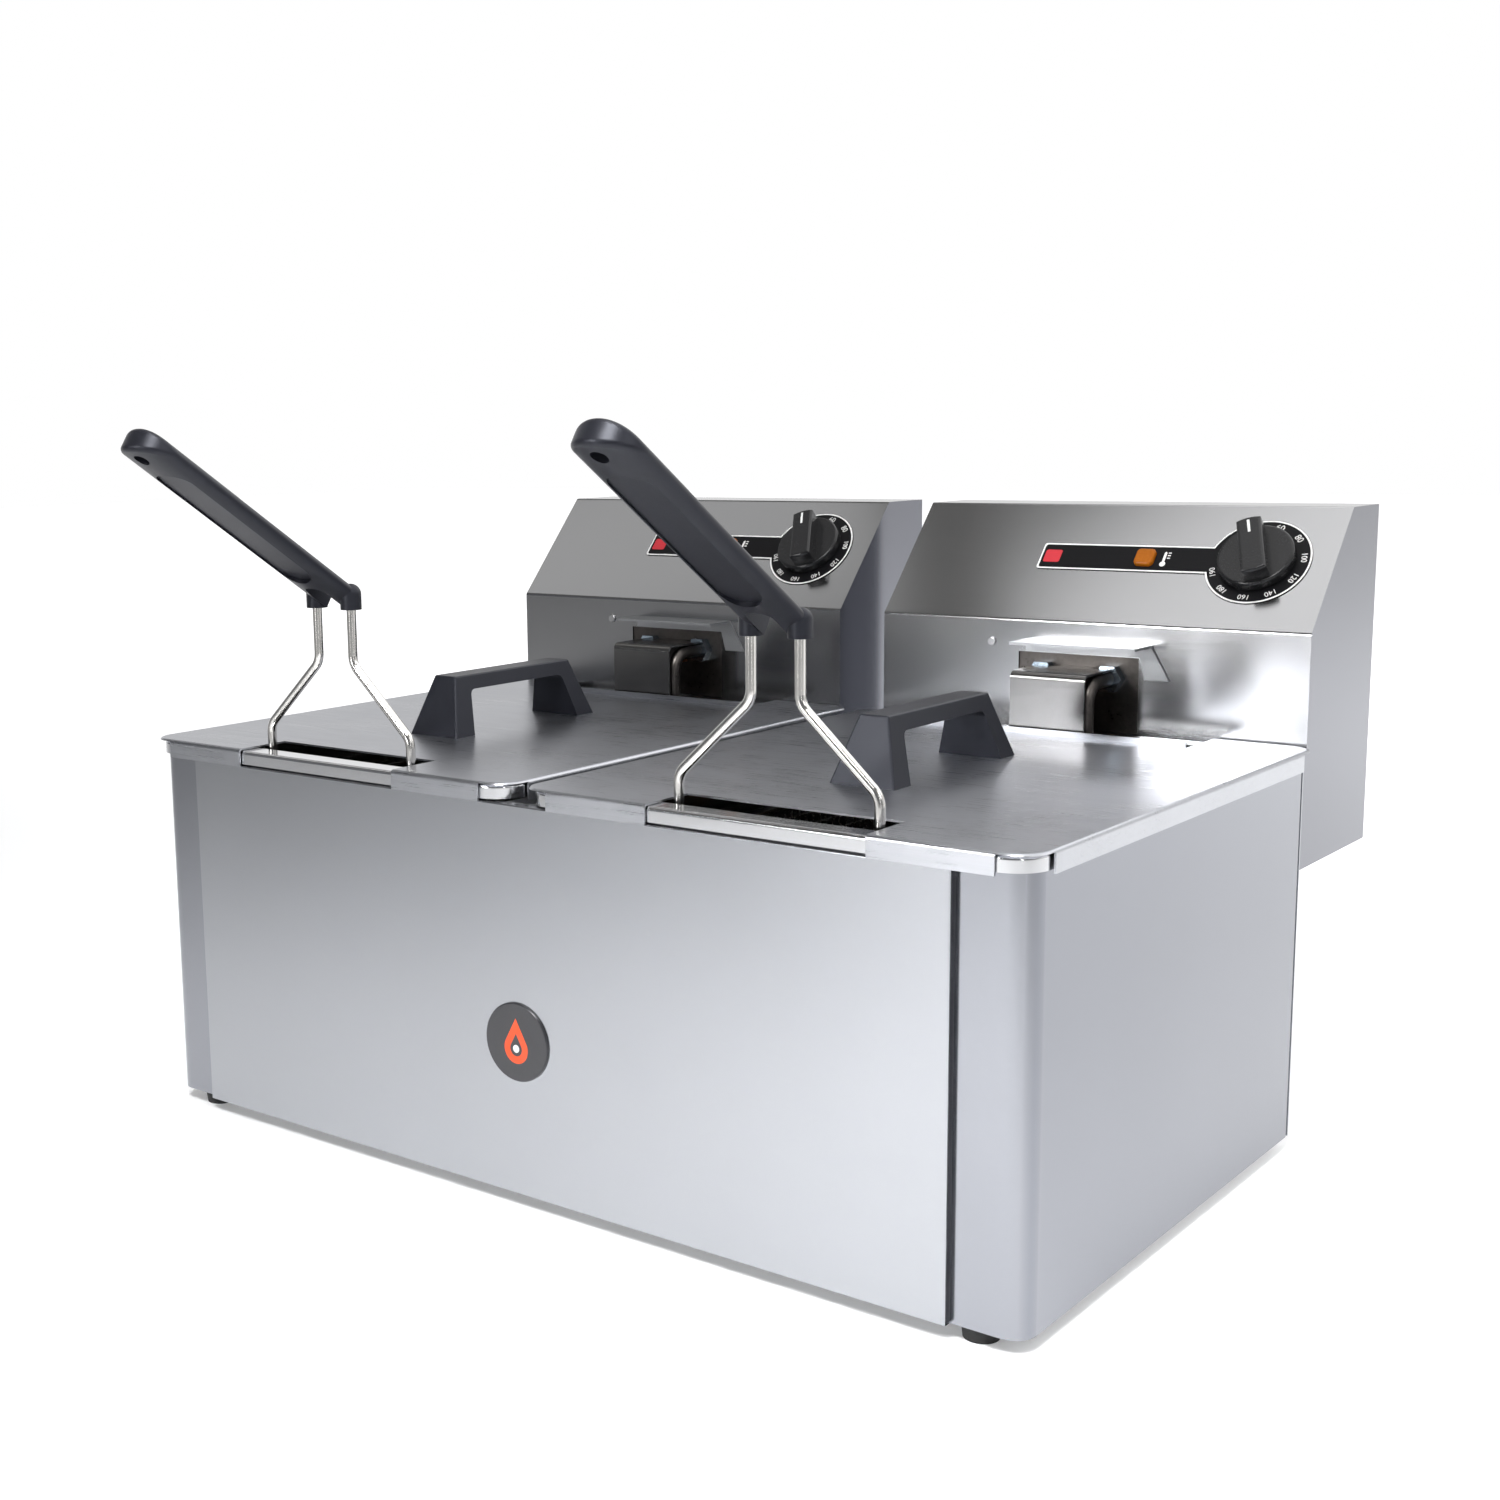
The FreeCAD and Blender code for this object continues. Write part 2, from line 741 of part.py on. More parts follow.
def make_basket_net(tank_x):
    """Floor, front, back and two side walls of net."""
    half, front, rear = basket_net_bounds()
    floor = rib_level + rib_wire / 2 + weld_gap
    top = basket_top - wire / 2 - weld_gap
    upright = FreeCAD.Rotation(vec(1, 0, 0), 90)
    sideways = FreeCAD.Rotation(vec(0, 0, 1), 90).multiply(upright)
    bottom = make_net(2 * half, rear - front)
    bottom.translate(vec(tank_x - half, front, floor))
    panels = [bottom]
    wall_low = floor + net_thickness
    for y in (front + net_thickness, rear):
        wall = make_net(2 * half, top - wall_low)
        wall.Placement = FreeCAD.Placement(vec(tank_x - half, y, wall_low), upright)
        panels.append(wall)
    length = rear - front - 2 * net_thickness
    for x in (tank_x - half, tank_x + half - net_thickness):
        wall = make_net(length, top - wall_low)
        wall.Placement = FreeCAD.Placement(vec(x, front + net_thickness, wall_low), sideways)
        panels.append(wall)
    return Part.makeCompound(panels)


def make_basket_frame(tank_x):
    """Top wire all round, and two ribs that pass under the net."""
    left = tank_x - basket_half
    right = tank_x + basket_half
    corners = [
        vec(left, basket_front, basket_top),
        vec(right, basket_front, basket_top),
        vec(right, basket_rear, basket_top),
        vec(left, basket_rear, basket_top),
    ]
    path = rounded_wire(corners, [basket_corner] * 4, True)
    start = path.Edges[0].valueAt(path.Edges[0].FirstParameter)
    section = Part.Wire(Part.makeCircle(wire / 2, start, path.Edges[0].tangentAt(path.Edges[0].FirstParameter)))
    ring = path.makePipeShell([section], True, True)
    pieces = [ring]
    rib_half = basket_half
    rib_top = basket_top - wire / 2 - weld_gap
    for y in (basket_front + rib_inset, basket_rear - rib_inset):
        points = [
            vec(tank_x - rib_half, y, rib_top),
            vec(tank_x - rib_half, y, rib_level),
            vec(tank_x + rib_half, y, rib_level),
            vec(tank_x + rib_half, y, rib_top),
        ]
        pieces.append(bent_rod(points, [0, rib_bend, rib_bend, 0], rib_wire))
    return Part.makeCompound(pieces)


def make_basket_stem(tank_x):
    """Two wires from the basket's front up to the grip, drawn together above the lid."""
    wires = []
    for side in (-1, 1):
        foot = tank_x + side * stem_spread / 2
        head = tank_x + side * stem_pitch / 2
        points = [
            vec(foot, stem_y, basket_top - stem_tail),
            vec(foot, stem_y, lid_top + stem_low_bend),
            vec(head, stem_y, lid_top + stem_high_bend),
            vec(head, stem_y, grip_root),
        ]
        wires.append(bent_rod(points, [0, stem_bend_radius, stem_bend_radius, 0], wire))
    return Part.makeCompound(wires)


def make_basket_grip(tank_x):
    """Flat forked grip with a dished underside, a round tip and a hanging hole."""
    half = grip_width / 2
    prong = (grip_width - grip_gap) / 2
    root = -socket_radius
    thick = grip_thickness / 2
    oval = Part.Ellipse(vec(0, 0, 0), half, thick).toShape()
    bar = Part.Face(Part.Wire(oval)).extrude(vec(0, 0, 2 * grip_length))
    bar.rotate(vec(0, 0, 0), vec(1, 0, 0), -90)
    bar.translate(vec(0, root - grip_gap, 0))
    outline = [(-half, root), (half, root), (half, grip_length), (-half, grip_length)]
    radii = [prong * 0.45, prong * 0.45, half * 0.98, half * 0.98]
    body = bar.common(prism(outline, radii, -grip_thickness, grip_thickness))
    tip_edges = []
    for edge in body.Edges:
        if edge.CenterOfMass.y > grip_length - half and edge.Length > half / 2:
            tip_edges.append(edge)
    body = body.makeFillet(grip_round, tip_edges)
    slot = block(-grip_gap / 2, grip_gap / 2, root - grip_gap, grip_gap_length, -grip_thickness,
                 grip_thickness, grip_gap * 0.45)
    dish_half = half - grip_ridge
    dish = block(-dish_half, dish_half, grip_gap_length + grip_ridge, grip_length - grip_recess_end,
                 thick - grip_recess, thick + grip_recess, dish_half * 0.9)
    hole = Part.makeCylinder(grip_hole_radius, 2 * grip_thickness,
                             vec(0, grip_length - grip_hole_inset, -grip_thickness))
    body = body.cut([slot, dish, hole])
    body.rotate(vec(0, 0, 0), vec(1, 0, 0), 180 - grip_angle)
    body.translate(vec(tank_x, stem_y, grip_root))
    bores = []
    for side in (-1, 1):
        root_point = vec(tank_x + side * stem_pitch / 2, stem_y, grip_root)
        foot_point = root_point - vec(0, 0, socket_drop)
        body = body.fuse([rod_between(foot_point, root_point, socket_radius),
                          Part.makeSphere(socket_radius, root_point)])
        bores.append(rod_between(foot_point - vec(0, 0, wire), root_point, wire / 2 + wire_play))
    return body.cut(bores).removeSplitter()


# Control heads

def head_path():
    """Head's front outline from the rear top edge down to the lower front edge, as (depth, height)."""
    shoulder = lid_top - shoulder_drop
    return [
        (head_rear, head_top),
        (head_front + slope_run, head_top),
        (head_front, fold_height),
        (head_front, shoulder),
        (shoulder_front, shoulder),
        (shoulder_front, head_bottom),
    ]


def cover_screw_places(head_x):
    places = []
    for side in (-1, 1):
        for height in (head_bottom + cover_screw_margin, head_top - cover_screw_margin):
            x = head_x + side * (head_half - sheet - cover_screw_inset)
            places.append(vec(x, head_rear, height))
    return places


def drill_cover_screws(shape, head_x):
    for place in cover_screw_places(head_x):
        shape = shape.cut(to_front(screw_hole(4 * sheet), place + vec(0, sheet / 2, 0)))
    return shape


def make_head_housing(head_x, tank_x):
    """Front, slope, top and sides of a head; open at the back and underneath."""
    path = head_path()
    outline, radii = sheet_outline(path, sheet, bend)
    count = len(path)
    outer = across(prism(outline[:count] + [(head_rear, head_bottom)], radii[:count] + [0.0],
                         -head_half, head_half))
    inner_path = outline[count:]
    inner_radii = radii[count:]
    inner_path[0] = (inner_path[0][0], head_bottom - sheet)
    inner_path[-1] = (head_rear + sheet, inner_path[-1][1])
    hollow = across(prism(inner_path + [(head_rear + sheet, head_bottom - sheet)], inner_radii + [0.0],
                          -head_half + sheet, head_half - sheet))
    housing = outer.cut(hollow)
    for side in (-1, 1):
        wall = side * (head_half - sheet)
        inner_edge = side * (head_half - sheet - cover_flange)
        flange = box(min(wall, inner_edge), max(wall, inner_edge), head_rear - 2 * sheet, head_rear - sheet,
                     head_bottom + 2 * bend, head_top - sheet)
        housing = housing.fuse(flange)
    housing.translate(vec(head_x, 0, 0))
    low = lid_top - passage_drop
    half = passage_width / 2
    passage = box(tank_x - half, tank_x + half, head_front - sheet, head_front + 2 * sheet, low,
                  low + passage_height)
    windows = [passage, shaft_hole(head_x), lamp_window(head_x), face_screw_hole(tank_x)]
    return drill_cover_screws(housing.cut(windows), head_x).removeSplitter()


def dial_x():
    """Dial's centre from a head's middle."""
    return head_half - dial_margin


def shaft_hole(head_x):
    hole = Part.makeCylinder(shaft_radius + shaft_window, 4 * sheet, vec(dial_x(), control_line, -3 * sheet))
    return on_slope(hole, head_x)


def lamp_window(head_x):
    half = lamp_size / 2 + lamp_play
    x = dial_x() - lamp_offset
    window = block(x - half, x + half, control_line - half, control_line + half, -3 * sheet, 2 * sheet,
                   lamp_round + lamp_play)
    return on_slope(window, head_x)


def face_screw_place(tank_x):
    return vec(tank_x - face_screw_offset, head_front, fold_height - face_screw_drop)


def face_screw_hole(tank_x):
    return to_back(screw_hole(4 * sheet), face_screw_place(tank_x) - vec(0, sheet, 0))


def floor_y():
    """Middle line of the pieces fixed to a head's floor."""
    return head_rear - fitting_setback


def make_head_back_cover(head_x):
    """Floor and back of a head in one bent sheet, with vents and the holes for its fittings."""
    front = shoulder_front + sheet + nest_gap
    top = head_top - sheet - nest_gap
    half = head_half - sheet - nest_gap
    path = [(front, head_bottom), (head_rear, head_bottom), (head_rear, top)]
    outline, radii = sheet_outline(path, sheet, bend)
    cover = across(prism(outline, radii, -half, half))
    cuts = []
    for side in (-1, 1):
        for i in range(vent_count):
            x = side * half / 2
            z = head_top - cover_screw_margin - (i + 1) * vent_pitch
            cuts.append(box(x - vent_length / 2, x + vent_length / 2, head_rear - 2 * sheet, head_rear + sheet,
                            z, z + vent_height))
    button = Part.makeCylinder(button_radius + button_play, 4 * sheet,
                               vec(-cutout_offset, floor_y(), head_bottom - sheet))
    gland = Part.makeCylinder(gland_radius + gland_play, 4 * sheet,
                              vec(gland_offset, floor_y(), head_bottom - sheet))
    cover = cover.cut(cuts + [button, gland])
    cover.translate(vec(head_x, 0, 0))
    return drill_cover_screws(cover, head_x)


def make_head_screws(head_x, tank_x):
    """Screws of the back cover, and the one on the head's face."""
    screws = [to_front(screw(4 * sheet), place) for place in cover_screw_places(head_x)]
    small = screw(4 * sheet, face_screw_head, face_screw_height)
    screws.append(to_back(small, face_screw_place(tank_x)))
    return Part.makeCompound(screws)


def make_element_cover(tank_x):
    """Bent plate over the element's legs; a tongue between the nuts joins it to the element's flange."""
    top = lid_top + element_cover_rise
    rear = head_front + sheet
    path = [(rear, top), (cover_front, top), (cover_front, lid_top - element_cover_drop)]
    outline, radii = sheet_outline(path, element_cover_sheet, element_cover_bend)
    half = element_cover_width / 2
    cover = across(prism(outline, radii, -half, half))
    nut_front = rear - nut_thickness - seat_gap
    for side in (-1, 1):
        inner = side * cover_tongue / 2
        outer = side * (half + sheet)
        slot = box(min(inner, outer), max(inner, outer), nut_front, rear + sheet, top - bend, top + bend)
        cover = cover.cut(slot)
    cover.translate(vec(tank_x, 0, 0))
    return cover


def make_basket_hanger(tank_x):
    """Strip with a flared ear on the head's face, and a ledge forward for hanging the basket."""
    left = hanger_offset - hanger_width / 2
    right = hanger_offset + hanger_width / 2
    ear_right = right + hanger_flare
    strip_low = hanger_top - hanger_strip
    ear_low = hanger_top - hanger_ear
    outline = [
        (left, hanger_top),
        (left, strip_low),
        (right - hanger_ear_top, strip_low),
        (ear_right - hanger_ear_foot, ear_low),
        (ear_right, ear_low),
        (right, hanger_top),
    ]
    plate = to_front(prism(outline, [0.0] * 6, 0, hanger_sheet), vec(tank_x, head_front, 0))
    ledge = box(tank_x + left, tank_x + right, head_front - hanger_reach, head_front, hanger_top - hanger_sheet,
                hanger_top)
    return plate.fuse(ledge).removeSplitter()


# Heating elements and sensors

def lane_positions():
    """Sideways places of the element's lanes from the tank's middle."""
    outer = bowl_half - lane_side_room
    step = 2 * outer / (lane_count - 1)
    return [-outer + i * step for i in range(lane_count)]


def flange_bounds():
    """Half width, lower and upper edge of the element's flange behind the passage."""
    low = lid_top - passage_drop
    return passage_width / 2 + flange_margin, low - sheet / 2, low + passage_height + flange_margin


def make_heating_element(tank_x):
    """One tube: in from the head, down the back of the bowl, to and fro under the basket, and back."""
    lanes = lane_positions()
    turn = (lanes[1] - lanes[0]) * 0.48
    front = bowl_front + lane_front_room
    back = leg_y - lane_turn_room
    tail = head_front + tube_tail
    leg = leg_spread / 2
    points = [vec(-leg, tail, leg_top), vec(-leg, leg_y, leg_top), vec(-leg, leg_y, tube_level)]
    radii = [0, leg_bend, leg_bend]
    for i, x in enumerate(lanes):
        ends = (leg_y if i == 0 else back, front)
        if i % 2:
            ends = (front, leg_y if i == lane_count - 1 else back)
        for y in ends:
            points.append(vec(x, y, tube_level))
            radii.append(leg_bend if y == leg_y else turn)
    points += [vec(leg, leg_y, tube_level), vec(leg, leg_y, leg_top), vec(leg, tail, leg_top)]
    radii += [leg_bend, leg_bend, 0]
    element = bent_rod(points, radii, tube)
    half, low, high = flange_bounds()
    face = head_front + sheet
    flange = box(-half, half, face, face + flange_thickness, low, high)
    for side in (-1, 1):
        bulb_x = side * bulb_pitch / 2
        hole_start = vec(bulb_x, face - sheet, leg_top - capillary_drop)
        flange = flange.cut(rod_between(hole_start, hole_start + vec(0, 4 * flange_thickness, 0),
                                        capillary / 2 + screw_play))
    element = element.fuse(flange).removeSplitter()
    element.translate(vec(tank_x, 0, 0))
    return element


def make_element_nuts(tank_x):
    nuts = []
    for side in (-1, 1):
        nut = hexagon(nut_width, 0, nut_thickness)
        nut = nut.cut(Part.makeCylinder(tube / 2 + wire_play, nut_thickness))
        nuts.append(to_front(nut, vec(tank_x + side * leg_spread / 2, head_front + sheet, leg_top)))
    return Part.makeCompound(nuts)


def make_sensor_bulbs(tank_x):
    """Two bulbs between the element's legs, each on a thin tube that runs into the head."""
    bulbs = []
    level = leg_top - capillary_drop
    low = tube_level + bulb_lift
    for side in (-1, 1):
        x = tank_x + side * bulb_pitch / 2
        points = [
            vec(x, head_front + tube_tail, level),
            vec(x, leg_y, level),
            vec(x, leg_y, low + bulb_length / 2),
        ]
        thin = bent_rod(points, [0, capillary_bend, 0], capillary)
        bulb = soft_top(Part.makeCylinder(bulb_radius, bulb_length, vec(x, leg_y, low)), low, bulb_radius * 0.9)
        bulbs.append(thin.fuse(bulb).removeSplitter())
    return Part.makeCompound(bulbs)


# Controls on the slope

def make_control_label(head_x):
    """Thin plate on the slope: a bar that ends in a round dial field."""
    x = dial_x()
    half = label_height / 2
    bar = block(x - label_length, x, control_line - half, control_line + half, 0, label_thickness, label_round)
    dial = Part.makeCylinder(dial_radius, label_thickness, vec(x, control_line, 0))
    label = on_slope(bar.fuse(dial).removeSplitter(), head_x)
    return label.cut([shaft_hole(head_x), lamp_window(head_x)])


def make_pilot_lamp(head_x):
    """Square lens above the label on a holder that reaches into the head."""
    half = lamp_size / 2
    x = dial_x() - lamp_offset
    lens_top = label_thickness + lamp_proud
    lens = block(x - half, x + half, control_line - half, control_line + half,
                 -lamp_depth, lens_top, lamp_round)
    return on_slope(soft_top(lens, lens_top, lamp_proud / 2), head_x)


def make_thermostat(head_x):
    """Switch body behind the slope, with the bearing for the knob's shaft."""
    x = dial_x()
    half = thermostat_size / 2
    body = block(x - half, x + half, control_line - half, control_line + half,
                 -sheet - thermostat_depth, -sheet,
                 label_round)
    bearing = Part.makeCylinder(shaft_radius + shaft_play, shaft_depth + sheet,
                                vec(x, control_line, -sheet - shaft_depth))
    return on_slope(body.cut(bearing), head_x)


def make_knob_shaft(head_x):
    low = -sheet - shaft_depth + seat_gap
    shaft = Part.makeCylinder(shaft_radius, shaft_reach - low, vec(dial_x(), control_line, low))
    return on_slope(shaft, head_x)


def make_knob(head_x):
    """Round skirt with a raised grip bar across it."""
    low = label_thickness + knob_lift
    skirt = Part.makeCylinder(knob_radius, knob_skirt, vec(0, 0, low))
    skirt = soft_top(skirt, low + knob_skirt, knob_round)
    half = knob_bar_width / 2
    top = low + knob_height
    bar = box(-half, half, -knob_radius, knob_radius, low, top)
    bar = bar.common(Part.makeCylinder(knob_radius - knob_round, knob_height, vec(0, 0, low)))
    bar = soft_top(bar, top, knob_round)
    bar.rotate(vec(0, 0, 0), vec(0, 0, 1), knob_bar_turn)
    bore = Part.makeCylinder(shaft_radius + wire_play, shaft_reach + seat_gap)
    knob = skirt.fuse(bar).cut(bore).removeSplitter()
    knob.translate(vec(dial_x(), control_line, 0))
    return on_slope(knob, head_x)


# Pieces on the head's floor

def make_safety_cutout(head_x):
    """Over-temperature switch above the floor, with a guide for its reset button."""
    half = cutout_size / 2
    low = head_bottom + sheet
    place = vec(head_x - cutout_offset, floor_y(), low)
    body = block(-half, half, -half, half, 0, cutout_height, label_round)
    room = Part.makeCylinder(button_radius + button_play, button_travel + button_end_room)
    guide_length = button_stem_length + button_travel + button_end_room
    guide = Part.makeCylinder(button_stem + button_stem_play, guide_length)
    body = body.cut([room, guide])
    body.translate(place)
    return body


def make_reset_button(head_x):
    """Button under the floor on a stem that slides in the safety switch."""
    place = vec(head_x - cutout_offset, floor_y(), head_bottom + sheet)
    cap_length = button_proud + sheet
    cap = Part.makeCylinder(button_radius, cap_length, vec(0, 0, -cap_length))
    cap = soft_top(cap, -cap_length, label_round / 2)
    stem = Part.makeCylinder(button_stem, button_stem_length)
    button = cap.fuse(stem).removeSplitter()
    button.translate(place)
    return button


def make_terminal_block(head_x):
    half = terminal_length / 2
    width = terminal_width / 2
    low = head_bottom + sheet
    y = floor_y()
    body = block(-half, half, y - width, y + width, low, low + terminal_height, label_round)
    pitch = terminal_length / terminal_ways
    for i in range(terminal_ways):
        x = -half + (i + 0.5) * pitch
        for side in (-1, 1):
            hole = Part.makeCylinder(terminal_hole_radius, terminal_height / 2,
                                     vec(x, y + side * width / 2, low + terminal_height / 2))
            body = body.cut(hole)
    body.translate(vec(head_x - terminal_offset, 0, 0))
    return body


def make_cable_gland(head_x):
    """Gland through the floor with its hexagon and dome outside and its thread inside."""
    place = vec(head_x + gland_offset, floor_y(), head_bottom)
    thread = Part.makeCylinder(gland_radius, gland_thread)
    nut = hexagon(gland_nut, -gland_nut_height, 0)
    dome = Part.makeCone(gland_bore + gland_dome / 2, gland_nut * 0.45, gland_dome,
                         vec(0, 0, -gland_nut_height - gland_dome))
    reach = gland_nut_height + gland_dome + gland_thread
    bore = Part.makeCylinder(gland_bore, 2 * reach, vec(0, 0, -reach))
    gland = thread.fuse([nut, dome]).cut(bore).removeSplitter()
    gland.translate(place)
    return gland


nodes = {
    "base_pan": make_base_pan(),
    "front_panel": make_front_panel(),
    "left_side_wrap": make_side_wrap(-1),
    "right_side_wrap": make_side_wrap(1),
    "rear_panel": make_rear_panel(),
    "top_rails": make_top_rails(),
    "head_supports": make_head_supports(),
    "feet": make_feet(),
    "badge": make_badge(),
    "casing_screws": make_casing_screws(),
}

for side_name, tank_x, head_x in (("left", -tank_offset, -head_offset), ("right", tank_offset, head_offset)):
    pieces = {
        "tank": make_tank(tank_x),
        "lid": make_lid(tank_x),
        "lid_handle": make_lid_handle(tank_x),
        "lid_handle_screws": make_lid_handle_screws(tank_x),
        "basket_net": make_basket_net(tank_x),
        "basket_frame": make_basket_frame(tank_x),
        "basket_stem": make_basket_stem(tank_x),
        "basket_grip": make_basket_grip(tank_x),
        "head_housing": make_head_housing(head_x, tank_x),
        "head_back_cover": make_head_back_cover(head_x),
        "head_screws": make_head_screws(head_x, tank_x),
        "element_cover": make_element_cover(tank_x),
        "basket_hanger": make_basket_hanger(tank_x),
        "heating_element": make_heating_element(tank_x),
        "element_nuts": make_element_nuts(tank_x),
        "sensor_bulbs": make_sensor_bulbs(tank_x),
        "thermostat": make_thermostat(head_x),
        "knob_shaft": make_knob_shaft(head_x),
        "knob": make_knob(head_x),
        "control_label": make_control_label(head_x),
        "pilot_lamp": make_pilot_lamp(head_x),
        "safety_cutout": make_safety_cutout(head_x),
        "reset_button": make_reset_button(head_x),
        "terminal_block": make_terminal_block(head_x),
        "cable_gland": make_cable_gland(head_x),
    }
    for piece_name, piece in pieces.items():
        nodes[side_name + "_" + piece_name] = piece

os.makedirs("parts", exist_ok=True)
for node_name, shape in nodes.items():
    placed = shape.copy()
    placed.translate(origin_shift)
    placed.exportStep(os.path.join("parts", node_name + ".step"))
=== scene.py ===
import json
import math

import bpy
import numpy as np
from mathutils import Matrix, Vector


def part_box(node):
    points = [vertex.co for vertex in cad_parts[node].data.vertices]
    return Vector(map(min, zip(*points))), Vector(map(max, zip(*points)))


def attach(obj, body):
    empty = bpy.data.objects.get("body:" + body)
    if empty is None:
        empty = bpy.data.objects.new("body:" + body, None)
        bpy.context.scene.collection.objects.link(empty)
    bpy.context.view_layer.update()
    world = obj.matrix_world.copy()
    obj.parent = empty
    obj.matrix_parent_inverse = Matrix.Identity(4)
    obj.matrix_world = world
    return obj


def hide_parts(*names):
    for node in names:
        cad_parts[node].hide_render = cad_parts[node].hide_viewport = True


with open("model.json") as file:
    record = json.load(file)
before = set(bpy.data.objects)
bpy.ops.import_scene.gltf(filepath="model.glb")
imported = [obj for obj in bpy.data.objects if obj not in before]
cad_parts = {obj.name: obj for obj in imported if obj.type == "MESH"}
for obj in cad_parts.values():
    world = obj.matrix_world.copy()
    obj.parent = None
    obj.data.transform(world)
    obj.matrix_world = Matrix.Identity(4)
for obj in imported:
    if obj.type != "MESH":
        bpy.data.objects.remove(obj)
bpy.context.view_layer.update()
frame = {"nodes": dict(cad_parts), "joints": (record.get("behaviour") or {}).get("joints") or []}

# A twin-tank countertop fryer, dressed for a studio picture. Sizes are in metres, in the frame
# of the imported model: X to the right, Y to the back, Z up from the floor.

MM = 0.001
SIDES = ("left", "right")
WHITE = (1.0, 1.0, 1.0)


# Materials

# Nearly all values of a noise lie between these two.
NOISE_LOW = 0.25
NOISE_HIGH = 0.75
NOISE_ROUGHNESS = 0.6
FINE_DETAIL = 3.0
BROAD_DETAIL = 4.0

# For the painted facing shade, a face counts as turned to an axis from the first share of its
# normal, and wholly from the second.
SHADE_TURN_BEGINS = 0.6
SHADE_TURN_WHOLE = 0.9

# Brushed sheets are brushed along their horizontal lines. The slight tilt also gives a level
# sheet a direction.
ACROSS_BRUSHING = (0.0, 0.05, 1.0)


def add_node(tree, kind, **values):
    """A shader node with the named sockets set; socket names have _ for each space."""
    node = tree.nodes.new(kind)
    for key, value in values.items():
        node.inputs[key.replace("_", " ")].default_value = value
    return node


def shade(colour, factor):
    """The colour made lighter or darker by a factor, with its alpha."""
    return tuple(min(1.0, c * factor) for c in colour) + (1.0,)


def remap(tree, source, from_low, from_high, to_low, to_high):
    """Maps one range of a value onto another and holds it there."""
    ranged = add_node(tree, "ShaderNodeMapRange", From_Min=from_low, From_Max=from_high,
                      To_Min=to_low, To_Max=to_high)
    tree.links.new(source, ranged.inputs["Value"])
    return ranged.outputs["Result"]


def spread_map(tree, noise, low, high):
    """Maps a noise onto the range from low to high."""
    return remap(tree, noise, NOISE_LOW, NOISE_HIGH, low, high)


def colour_mix(tree, a, b, factor, blend_type="MIX"):
    """Mixes colours a and b. Each of the three is a constant or another node's output."""
    mix = tree.nodes.new("ShaderNodeMix")
    mix.data_type = "RGBA"
    mix.blend_type = blend_type
    for key, value in (("A", a), ("B", b), ("Factor", factor)):
        if isinstance(value, bpy.types.NodeSocket):
            tree.links.new(value, mix.inputs[key])
        else:
            mix.inputs[key].default_value = value
    return mix.outputs["Result"]


def noise_of(tree, coords, scale, stretch, detail):
    """A noise whose grains are stretched along the axes with small factors."""
    mapping = add_node(tree, "ShaderNodeMapping", Scale=stretch)
    noise = add_node(tree, "ShaderNodeTexNoise", Scale=scale, Detail=detail,
                     Roughness=NOISE_ROUGHNESS)
    tree.links.new(coords, mapping.inputs["Vector"])
    tree.links.new(mapping.outputs["Vector"], noise.inputs["Vector"])
    return noise.outputs["Fac"]


def painted_facing_shade(tree, base, axis, colour):
    """Paints shade: gives the faces that look along an axis, either way, a colour of their own that
    stands in for how the light falls on them.
    """
    split = tree.nodes.new("ShaderNodeSeparateXYZ")
    tree.links.new(tree.nodes.new("ShaderNodeTexCoord").outputs["Normal"], split.inputs["Vector"])
    size = tree.nodes.new("ShaderNodeMath")
    size.operation = "ABSOLUTE"
    tree.links.new(split.outputs[axis], size.inputs[0])
    share = remap(tree, size.outputs["Value"], SHADE_TURN_BEGINS, SHADE_TURN_WHOLE, 0.0, 1.0)
    return colour_mix(tree, base, shade(colour, 1.0), share)


